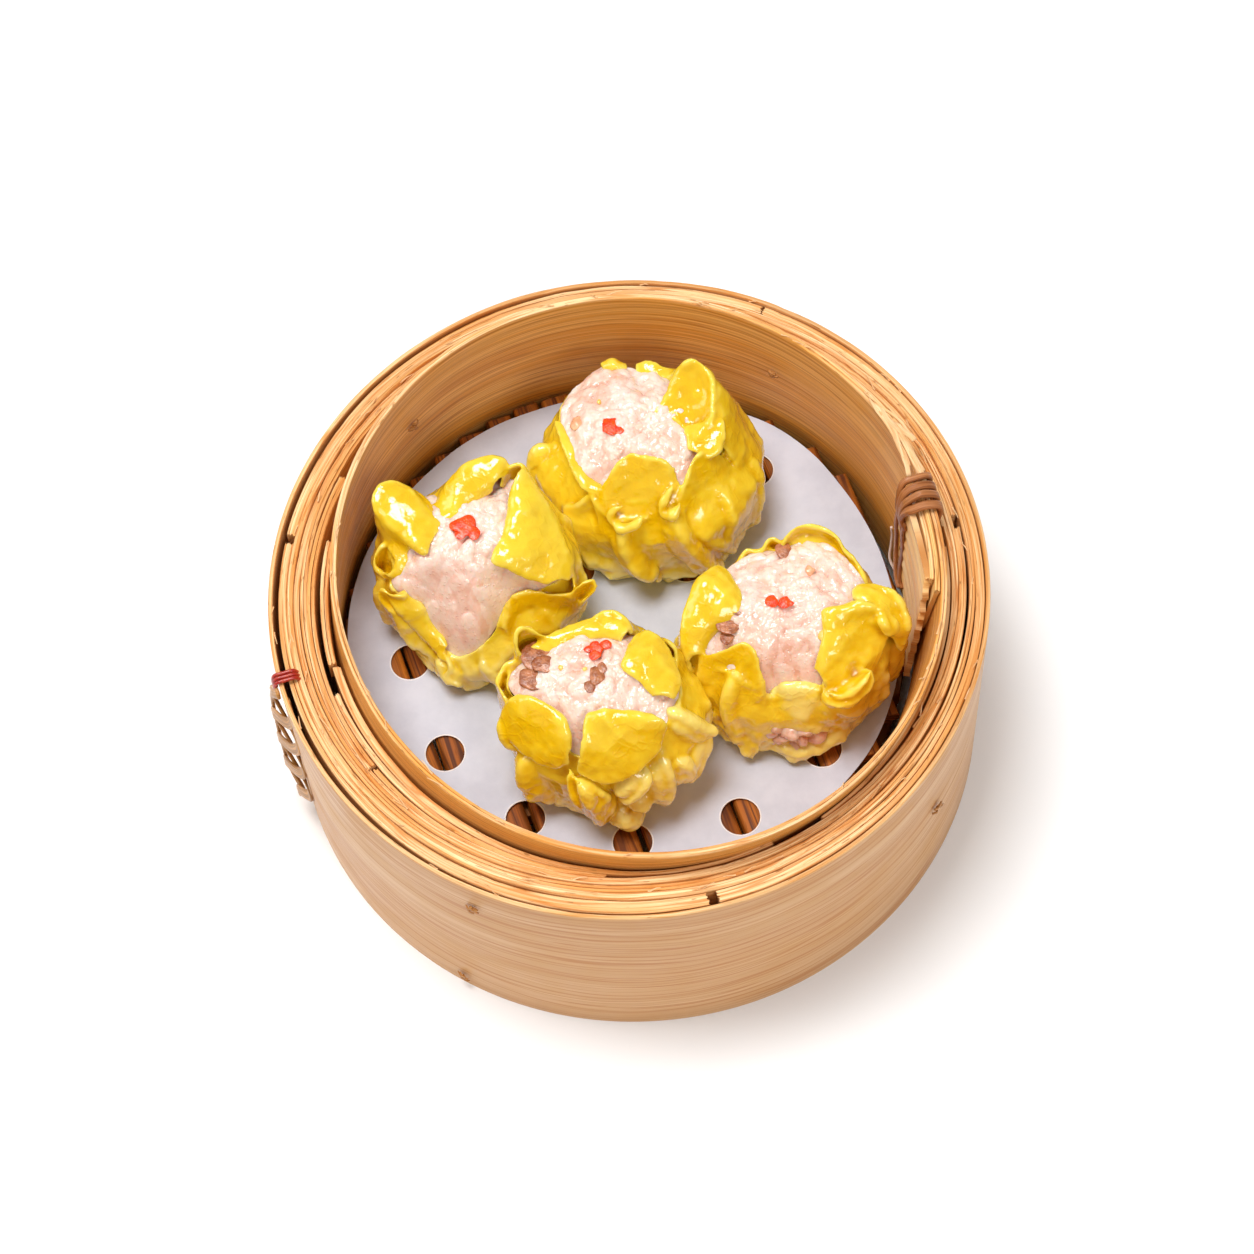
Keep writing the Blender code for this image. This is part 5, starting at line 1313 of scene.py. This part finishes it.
def build_wrapper(name, spec, seed):
    """One piece of dough: cup, standing flaps, top folds and pleats, melted together."""
    cup, cup_points, cup_tone = cup_mesh(spec, seed)
    parts, known, tones = [cup], [cup_points], [cup_tone]
    for k, (bulge, shade, edge, root) in enumerate(spec["flap"]):
        grid = flap_grid(spec, edge, root, bulge)
        wobble = noise(grid, 4.0, seed + 20 + k) * 0.5 + noise(grid, 1.8, seed + 40 + k) * 0.2
        fade = np.linspace(1.0, 0.4, grid.shape[0])[:, None]
        grid = grid + (wobble * fade)[..., None] * np.array([0.6, 0.6, 0.7])
        thickness = np.linspace(0.8, 1.3, grid.shape[0])[:, None]
        sheet, points = thick_sheet(f"flap_{k}", grid, thickness)
        parts += [sheet, tube(f"lip_{k}", grid[0], 0.5, sides=8)]
        height_tone = smooth_step(points[:, 2], 2.0, 14.0)
        known.append(points)
        tones.append(shade * (0.5 + 0.5 * height_tone))
    for k, (crown, tone, outer, inner) in enumerate(spec["fold"]):
        grid = fold_grid(outer, inner, crown)
        wobble = noise(grid, 3.6, seed + 60 + k) * 0.7 + noise(grid, 1.7, seed + 80 + k) * 0.3
        grid = grid + wobble[..., None] * np.array([0.3, 0.3, 0.9])
        sheet, points = thick_sheet(f"fold_{k}", grid, 1.1)
        parts += [sheet, tube(f"inner_lip_{k}", grid[-1], 0.55, sides=8)]
        known.append(points)
        tones.append(np.full(len(points), tone))
    for k, (tone, keys) in enumerate(spec["ridge"]):
        ridge = ridge_tube(f"ridge_{k}", keys)
        known.append(points_of(ridge))
        tones.append(np.full(len(known[-1]), tone))
        parts.append(ridge)
    obj = join(f"dough_{name}", parts)
    remesh = obj.modifiers.new("melt", "REMESH")
    remesh.mode = "VOXEL"
    remesh.voxel_size = VOXEL / MM
    remesh.use_smooth_shade = True
    bake_modifiers(obj)
    points, edges = points_of(obj), edges_of(obj)
    known, tones = np.vstack(known), np.concatenate(tones)
    tree = KDTree(len(known))
    for k, point in enumerate(known):
        tree.insert(point, k)
    tree.balance()
    tone = np.array([tones[tree.find(point)[1]] for point in points])
    tone = smoothed(np.repeat(tone[:, None], 3, 1), edges, 6)[:, 0]
    points = smoothed(points, edges, 3)
    move_points(obj, points)
    normals = normals_of(obj)
    low = 1.0 - smooth_step(points[:, 2], 4.0, 16.0)
    turn = np.arctan2(points[:, 1], points[:, 0])
    wrapped = np.stack([18.0 * turn + 0.35 * points[:, 2], 0.22 * points[:, 2],
                        0.25 * np.hypot(points[:, 0], points[:, 1])], -1)
    wrinkles = noise(wrapped, 3.2, seed + 7) * 0.4 + noise(wrapped, 1.5, seed + 8) * 0.14
    wrinkles = wrinkles * (1.0 - 0.8 * smooth_step(points[:, 2], 20.0, 27.0))
    steps = np.repeat(pleat_steps(spec["ridge"], points)[:, None], 3, 1)
    points = points + normals * smoothed(steps, edges, 3)
    pebbles = noise(points, 3.0, seed + 5) * (0.25 + 0.45 * low) + noise(points, 1.4, seed + 6) * (
        0.12 + 0.16 * low)
    points = points + normals * (wrinkles + pebbles)[:, None]
    points[:, 2] = np.maximum(points[:, 2], 0.0)
    move_points(obj, points)
    # How far each point sinks below its smoothed neighbours, kept for the wrapper's painted crease
    # shade and painted bulge highlight.
    crease_shade_bulge_highlight = ((smoothed(points, edges, 14) - points) * normals_of(obj)).sum(1)
    move_points(obj, (points + foot_of(spec)) * MM)
    obj.data.shade_smooth()
    set_attribute(obj, "tone", tone)
    set_attribute(obj, "crease_shade_bulge_highlight", np.clip(crease_shade_bulge_highlight, -0.6, 0.6))
    return finish_piece(obj, WRAPPER, [f"wrapper_{name}"])


# ---------------------------------------------------------------- filling
def shreds(points, length, width, seed):
    """Overlapping shreds of mince: height from 0 to 1 at each point and each shred's shade."""
    draw = np.random.default_rng(seed)
    low, high = points.min(0) - length, points.max(0) + length
    count = int(np.prod(high - low) / (length * width) * 1.5)
    spots = draw.uniform(low, high, (count, 2))
    turns = draw.uniform(0.0, np.pi, count)
    tall = draw.uniform(0.45, 1.0, count)
    shades = draw.uniform(0.0, 1.0, count)
    tree = KDTree(count)
    for k, spot in enumerate(spots):
        tree.insert((*spot, 0.0), k)
    tree.balance()
    near = np.array([[hit[1] for hit in tree.find_n((*point, 0.0), 6)] for point in points])
    away = points[:, None] - spots[near]
    turn = turns[near]
    along = away[..., 0] * np.cos(turn) + away[..., 1] * np.sin(turn)
    aside = -away[..., 0] * np.sin(turn) + away[..., 1] * np.cos(turn)
    dome = 1.0 - (along / length) ** 2 - (aside / width) ** 2
    height = np.sqrt(np.clip(dome, 0.0, 1.0)) * tall[near]
    best = height.argmax(1)
    rows = np.arange(len(points))
    return height[rows, best], shades[near[rows, best]] * (height[rows, best] > 0.0)


def filling_height(spec, x, y):
    """Top of the filling before its lumps, in millimetres above the foot."""
    dx, dy, crown = spec["dome"]
    degrees = np.degrees(np.arctan2(y, x))
    rim, top = around(spec["rim"], degrees, 8)
    share = np.clip(np.hypot(x - dx * 0.5, y - dy * 0.5) / np.maximum(rim - 0.5, 3.0), 0.0, 1.15)
    return crown - (crown - (top - 0.3)) * share ** 2.3


def build_filling(name, spec, seed):
    """Plug of filling with a shredded, lumpy domed top that fills the wrapper's mouth."""
    count, rings = 250, 84
    angles = np.linspace(0.0, FULL_TURN, count, endpoint=False)
    mouth = np.maximum(around(spec["rim"], angles, 6)[0] - 0.45, 3.0)
    shares = np.linspace(0.015, 1.0, rings)[:, None]
    flat = np.stack(polar(mouth * shares, angles), -1).reshape(-1, 2)
    height = filling_height(spec, flat[:, 0], flat[:, 1])
    big, shade = shreds(flat, 3.0, 1.5, seed + 1)
    small, _ = shreds(flat, 1.5, 0.8, seed + 2)
    spots = np.column_stack([flat, height])
    rough = noise(spots, 5.5, seed + 3)
    height = height + 1.35 * big + 0.55 * small + 0.9 * rough - 1.1
    # Tone: each shred's own colour and slow mottling, plus painted shade that deepens the colour
    # in the low gaps between shreds and pales their tops.
    tone = 0.15 + 0.45 * shade + 0.2 * noise(spots, 5.0, seed + 4) + 0.6 * (0.5 - big)
    if name == "right":
        tone = tone + 0.25 * hump(np.degrees(np.arctan2(flat[:, 1], flat[:, 0])), -95.0, 30.0)
    grid = np.column_stack([flat, height]).reshape(rings, count, 3)
    skirt = [on_circle(mouth * share, angles, grid[-1, :, 2] - drop)
             for share, drop in ((0.97, 1.5), (0.93, 3.0), (0.9, 4.5))]
    grid = np.concatenate([grid, skirt])
    poles = np.array([[0, 0, grid[0, :, 2].mean()], [0, 0, grid[-1, :, 2].mean() - 2.0]])
    centre = foot_of(spec)
    obj = closed_body(f"mince_{name}", (grid + centre) * MM, (poles + centre) * MM)[0]
    set_attribute(obj, "tone", np.concatenate([tone, np.full(3 * count + 2, 0.5)]))
    return finish_piece(obj, FILLING, [f"filling_{name}"])


def build_tear():
    """Lumps of pink filling in the tear low on the right siu mai."""
    draw = np.random.default_rng(63)
    centre = foot_of(SIU_MAI["right"])
    parts = []
    for angle, radius, height, size in TEAR_LUMPS:
        points, faces = chip_points(draw, size, 0.8)
        spot = local_points([(angle, radius, height)])[0]
        bumpy = points + 0.25 * noise(points, 1.2, 65)[:, None]
        parts.append(mesh_object("lump", (bumpy + spot + centre) * MM, faces))
    obj = join("torn_place_mince", parts)
    set_attribute(obj, "tone", np.full(len(obj.data.vertices), 0.8))
    finish_piece(obj, FILLING)


def chip_points(draw, size, flatness):
    """A cut scrap: a squashed, faceted lump."""
    bm = bmesh.new()
    bmesh.ops.create_icosphere(bm, subdivisions=3, radius=1.0)
    points = np.array([v.co for v in bm.verts])
    faces = [tuple(v.index for v in f.verts) for f in bm.faces]
    bm.free()
    for cut in unit(draw.normal(size=(7, 3))):
        over = points @ cut - draw.uniform(0.55, 0.8)
        points -= np.clip(over, 0.0, None)[:, None] * cut * 0.9
    turn = draw.uniform(0.0, 2.0 * np.pi)
    spin = np.array([[math.cos(turn), -math.sin(turn)], [math.sin(turn), math.cos(turn)]])
    points[:, :2] = points[:, :2] @ spin * draw.uniform(0.85, 1.15, 2)
    points[:, 2] *= flatness
    return points * size + noise(points * size, 1.0, 77)[:, None] * 0.12, faces


def build_toppings():
    """Scraps of carrot, mushroom, corn and prawn set in the filling."""
    draw = np.random.default_rng(41)
    for kind, (material, flatness, lift) in TOPPINGS.items():
        parts = []
        for spec in SIU_MAI.values():
            for x, y, size in spec[kind]:
                points, faces = chip_points(draw, size, flatness)
                height = filling_height(spec, np.array([x]), np.array([y]))[0] + lift
                spot = foot_of(spec) + (x, y, height)
                parts.append(mesh_object("scrap", (points + spot) * MM, faces))
        finish_piece(join(f"{kind}_scraps", parts), material)


# ---------------------------------------------------------------- cane, lap and wire
# A strip of cane in section: across its width and its thickness, as shares of their halves.
CANE_PROFILE = ((-1.0, 0.0), (-0.93, 0.6), (-0.7, 0.95), (-0.3, 1.0), (0.0, 0.9), (0.3, 1.0),
                (0.7, 0.95), (0.93, 0.6), (1.0, 0.0), (0.85, -0.7), (0.0, -1.0), (-0.85, -0.7))


def ribbon(name, points, widths, thickness, facing):
    """Flat strip of cane along points, rounded at its edges; facing is its broad side."""
    points = np.asarray(points, float)
    ahead = unit(np.gradient(points, axis=0))
    side = unit(np.cross(ahead, np.asarray(facing, float) + 0 * points))
    out = np.cross(side, ahead)
    u, v = np.array(CANE_PROFILE).T
    widths = np.broadcast_to(np.asarray(widths, float), (len(points),))[:, None]
    grid = (points[:, None] + side[:, None] * (u * widths / 2.0)[..., None]
            + out[:, None] * (v * thickness / 2.0)[:, None])
    obj = closed_body(name, grid)[0]
    grain = np.zeros(grid.shape)
    grain[..., 0] = run_along(points)[:, None]
    grain[..., 2] = u * widths / 2.0 + points[0].sum() * 3.0
    set_attribute(obj, "grain", grain, "FLOAT_VECTOR")
    return obj


# Each turn: angle on the ring, height of its low end, width, how far it stands over the edge.
LASHING_TURNS = ((6.9, 55.0, 1.9, 1.5), (9.2, 52.0, 1.7, 2.0), (11.3, 53.0, 1.8, 1.6),
                 (13.4, 58.0, 1.5, 1.2))


def build_lashing():
    """Turns of cane over the ring's edge and the tail that hangs inside it."""
    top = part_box("inner_ring")[1].z
    parts = []
    for k, (angle, low, width, rise) in enumerate(LASHING_TURNS):
        inner = 9.6 + (angle - 10.0) * 0.35
        route = [(inner - 1.0, low * MM, -3.6 * MM), (inner, 59.0 * MM, -4.6 * MM),
                 (angle * 0.6 + inner * 0.4, top - 1.2 * MM, -4.4 * MM),
                 (angle, top + 0.7 * MM, -3.4 * MM),
                 (angle, top + rise * MM, -1.2 * MM), (angle, top + 0.9 * MM, 1.4 * MM),
                 (angle, top - 1.0 * MM, 2.4 * MM), (angle, top - 6.0 * MM, 2.4 * MM)]
        line = catmull(ring_spots(route), 50)
        middle = ring_spots([(angle, top - 5.0 * MM, -1.2 * MM)])
        parts.append(ribbon(f"turn_{k}", line, width * MM, 1.25 * MM, line - middle))
    finish_piece(join("cane_lashing", parts), CANE,
                 ["lashing_turn_1", "lashing_turn_2", "lashing_turn_3"])
    tail = []
    inwards = on_circle(-1.0, 9.0, 0.2)
    for k, (shift, width) in enumerate(((0.0, 2.0), (1.7, 1.5), (-1.2, 1.2))):
        route = [(9.4 - shift, 58.0, 3.6), (9.2 - shift, 52.0, 3.4), (9.0 - shift, 46.0, 2.6),
                 (8.6 - shift, 41.0, 2.2), (7.4 - shift * 0.6, 36.5, 2.2),
                 (5.4 - shift * 0.3, 33.0, 2.2), (3.6, 31.4 + 0.3 * k, 1.9)]
        angle, height, depth = np.array(route).T
        line = catmull(ring_place(angle, height * MM, -(depth + 0.5 * k) * MM), 36)
        tail.append(ribbon(f"tail_{k}", line, width * MM, 0.9 * MM, inwards))
    finish_piece(join("cane_tail", tail), CANE, ["lashing_tail"])
    angle, height, depth = np.array([(13.0, 44.0, 3.6), (12.4, 41.0, 3.2), (11.4, 37.5, 3.4),
                                     (9.8, 34.5, 3.8), (7.5, 32.4, 3.0)]).T
    line = catmull(ring_place(angle, height * MM, -depth * MM), 24)
    finish_piece(tube("clear_thread", line, 0.3 * MM, 8), THREAD)


def build_slivers():
    """Split plies and loose fibres: a frayed stretch behind the lashing and hairs on the rims."""
    draw = np.random.default_rng(29)
    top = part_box("inner_ring")[1].z
    parts = []
    for k in range(11):
        start, end = draw.uniform(27.0, 36.0), draw.uniform(12.0, 22.0)
        out = draw.uniform(-2.2, 2.6)
        route = []
        for share in np.linspace(0.0, 1.0, 7):
            angle = start + (end - start) * share
            lift = 0.3 + 1.0 * math.sin(math.pi * share) * draw.uniform(0.3, 1.0)
            side = out * share + draw.uniform(-0.25, 0.25) + 0.6
            route.append((angle, top + lift * MM, side * MM))
        width = draw.uniform(0.5, 1.3)
        line = catmull(ring_spots(route), 26)
        taper = width * np.minimum(1.0, np.linspace(0.25, 6.0, 26)) * MM
        parts.append(ribbon(f"sliver_{k}", line, taper, 0.6 * MM, (0.0, 0.0, 1.0)))
    finish_piece(join("split_slivers", parts), SLIVER)
    hairs = []
    for k in range(110):
        angle = draw.uniform(0.0, FULL_TURN)
        if k % 3 == 0:
            base = ring_place(angle, top, draw.uniform(0.0, 1.2) * MM)
        else:
            base = on_circle(draw.choice([68.9, 70.1, 71.2, 73.9, 66.9]) * MM, angle, 57.0 * MM)
        outwards = on_circle(1.0, angle)
        ahead = np.array([-outwards[1], outwards[0], 0.0]) * draw.choice([-1.0, 1.0])
        length = draw.uniform(0.8, 3.2) * MM
        tip = base + ahead * length + outwards * draw.uniform(-0.8, 0.8) * MM
        tip[2] += draw.uniform(0.3, 1.1) * MM
        mid = (base + tip) / 2.0 + np.array([0.0, 0.0, draw.uniform(0.1, 0.5) * MM])
        line = catmull([base - ahead * 0.5 * MM, base, mid, tip], 8)
        hairs.append(ribbon(f"hair_{k}", line, np.linspace(0.45, 0.12, 8) * MM, 0.16 * MM,
                            (0.0, 0.0, 1.0)))
    finish_piece(join("loose_fibres", hairs), SLIVER)


def build_lap():
    """The loose end of the ring's inner plies, peeled away and torn at its edge."""
    levels, columns = 60, 34
    draw = np.random.default_rng(8)
    torn = np.convolve(draw.normal(size=levels), [0.25, 0.5, 0.25], mode="same")[:, None]
    share = np.arange(levels)[:, None] / (levels - 1.0)
    reach = np.arange(columns) / (columns - 1.0)
    end = -8.4 - 7.4 * (1.0 - share) ** 0.8 + torn * 0.5
    angle = 9.0 + (end - 9.0) * reach
    height = 30.8 + (63.9 - 30.8) * share + 0 * angle
    lift = 0.7 + (2.9 - 1.0 * reach ** 2) * (0.25 + 0.75 * share)
    lift += 0.12 * np.sin(height * 1.3 + angle * 0.2)
    grain = np.stack([angle * 0.0011, 0 * angle, height * MM + 0.05], -1)
    obj, points = thick_sheet("peeled_ply", ring_place(angle, height * MM, -lift * MM) / MM, 1.3)
    move_points(obj, points * MM)
    set_attribute(obj, "grain", [grain, grain], "FLOAT_VECTOR")
    cut = np.zeros((2, levels, columns))
    cut[:, -2:, :] = 1.0
    cut[:, :, -1] = 0.6
    set_attribute(obj, "cut", cut.ravel())
    obj.data.set_sharp_from_angle(angle=math.radians(50.0))
    finish_piece(obj, LAP, ["inner_lap"])
    for k, (start, end, inner) in enumerate(((-11.0, 13.5, -1.25), (-8.6, 13.0, -2.35))):
        def place(angles, heights, outwards, inner=inner):
            return ring_place(angles, heights, outwards + inner * MM)
        ply = bent_strip(f"lap_ply_{k}", start, end, place, 1.05 * MM, 44.0 * MM,
                         (64.3 - 0.2 * k) * MM, 171 + 9 * k, ridge=0.25, wave=0.3, nick=0.4)
        finish_piece(ply, LAP)


LACING_ANGLE = -166.0
LACING_TURNS = 2.0


def build_side_lacing():
    """Plaited cane tab hanging on the wall, with the red wire that ties it over the rim."""
    low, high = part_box("side_lacing")
    wall = box_round("outer_wall")
    radius, rim = wall[1], wall[3]
    parts = []
    for k in range(4):
        t = np.linspace(0.0, 1.0, 110)
        phase = 2.0 * np.pi * (LACING_TURNS * t + k / 2.0)
        half = 4.5 * MM * np.sqrt(np.clip(t / 0.1, 0.0, 1.0) * np.clip((1.06 - t) / 0.3, 0.0, 1.0))
        sideways = half * (np.sin(phase) if k < 2 else 1.1 * (-1.0) ** k)
        away = (1.7 - 1.6 * t ** 3) * MM - 0.3 * sideways
        away = away + (0.5 * MM * np.cos(phase) if k < 2 else -0.3 * MM)
        height = low.z + 1.5 * MM + (high.z - low.z) * t
        angle = LACING_ANGLE + np.degrees(sideways / radius)
        parts.append(ribbon(f"strand_{k}", on_circle(radius + away, angle, height),
                            (2.8 if k < 2 else 1.7) * MM, 0.8 * MM, on_circle(1.0, angle)))
    finish_piece(join("woven_tab", parts), TAB_CANE, ["side_lacing"])
    loops = []
    out, up = np.array([(0.7, -5.5), (0.9, -2.0), (0.4, 0.7), (-1.6, 1.0), (-3.6, 0.9),
                        (-4.6, -0.6)]).T * MM
    for k, shift in enumerate((-0.9, 0.0, 0.9)):
        angle = LACING_ANGLE - 1.7 + math.degrees(shift * MM / radius)
        loop = catmull(on_circle(radius + out, angle, rim + up), 26)
        loops.append(tube(f"wire_{k}", loop, 0.42 * MM, 8))
    finish_piece(join("red_wire_loops", loops), WIRE, ["red_wire"])


def build_stitches():
    """Short frayed stitches of cane that pin the strips, and the stubs of their ends."""
    draw = np.random.default_rng(17)
    for name in sorted(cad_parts):
        if not name.startswith("stitch"):
            continue
        low, high = (np.array(corner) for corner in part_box(name))
        middle = (low + high) / 2.0
        outwards = unit(middle * np.array([1.0, 1.0, 0.0]))
        if "inside" in name:
            outwards = -outwards
        along = np.array([-outwards[1], outwards[0], 0.0])
        parts = []
        for k in range(5):
            lean = draw.uniform(-0.9, 0.9)
            start = middle + along * draw.uniform(-1.2, 0.6) * MM - outwards * 0.5 * MM
            start[2] += draw.uniform(-0.9, 0.9) * MM
            reach = draw.uniform(1.1, 2.0)
            mid = start + (along * reach * 0.6 + np.array([0, 0, lean * 0.6])) * MM
            mid = mid + outwards * 0.55 * MM
            end = start + (along * reach + np.array([0, 0, lean * 1.4])) * MM
            end = end + outwards * draw.uniform(-0.1, 0.6) * MM
            line = catmull([start, mid, end], 10)
            parts.append(ribbon(f"fibre_{k}", line, draw.uniform(0.5, 0.95) * MM, 0.35 * MM,
                                outwards))
        finish_piece(join(f"{name}_fibres", parts), STITCH_CANE, [name])


# ---------------------------------------------------------------- floor, light and camera
CAMERA_PLACE = (-0.0009, -0.321525, 0.66195)
CAMERA_DOWN = 62.74
CAMERA_ROLL = -4.62
CAMERA_LENS = 94.74


def build_stage():
    """Pale floor, soft light from the upper left and the camera."""
    bpy.ops.mesh.primitive_plane_add(size=6.0)
    floor = bpy.context.object
    floor.name = "pale_floor"
    floor.data.materials.append(FLOOR)
    scene = bpy.context.scene
    world = bpy.data.worlds.new("soft_white")
    scene.world = world
    world.use_nodes = True
    back = world.node_tree.nodes["Background"]
    back.inputs["Color"].default_value = rgb(1.0, 1.0, 1.0)
    back.inputs["Strength"].default_value = 0.40
    for name, place, size, power in (("key", (-0.2, 0.1, 1.2), 0.45, 11.0),
                                     ("side", (-1.0, 0.2, 0.7), 0.6, 3.0),
                                     ("front", (0.45, -0.85, 0.9), 0.4, 4.2)):
        light = bpy.data.lights.new(name, "AREA")
        light.shape = "SQUARE"
        light.size = size
        light.energy = power
        lamp = bpy.data.objects.new(name, light)
        lamp.location = place
        lamp.rotation_mode = "QUATERNION"
        aim = Vector((0.0, 0.0, 0.04)) - Vector(place)
        lamp.rotation_quaternion = aim.to_track_quat("-Z", "Y")
        scene.collection.objects.link(lamp)
    camera = bpy.data.cameras.new("camera")
    camera.lens = CAMERA_LENS
    camera.sensor_width = 36.0
    camera.clip_end = 50.0
    eye = bpy.data.objects.new("camera", camera)
    down, roll = math.radians(CAMERA_DOWN), math.radians(CAMERA_ROLL)
    ahead = Vector((0.0, math.cos(down), -math.sin(down)))
    right = Vector((1.0, 0.0, 0.0))
    up = right.cross(ahead)
    turned = right * math.cos(roll) + up * math.sin(roll)
    risen = -right * math.sin(roll) + up * math.cos(roll)
    eye.matrix_world = Matrix.Translation(CAMERA_PLACE) @ Matrix(
        (turned, risen, -ahead)).transposed().to_4x4()
    scene.collection.objects.link(eye)
    scene.camera = eye
    scene.view_settings.view_transform = "Standard"


build_stage()
build_hoops()
build_packing()
build_ring()
build_slats()
build_paper()
build_hole_rims()
for number, (which, siu_mai) in enumerate(SIU_MAI.items()):
    build_wrapper(which, siu_mai, 1000 + 100 * number)
    build_filling(which, siu_mai, 2000 + 100 * number)
build_tear()
build_toppings()
build_lashing()
build_slivers()
build_lap()
build_side_lacing()
build_stitches()
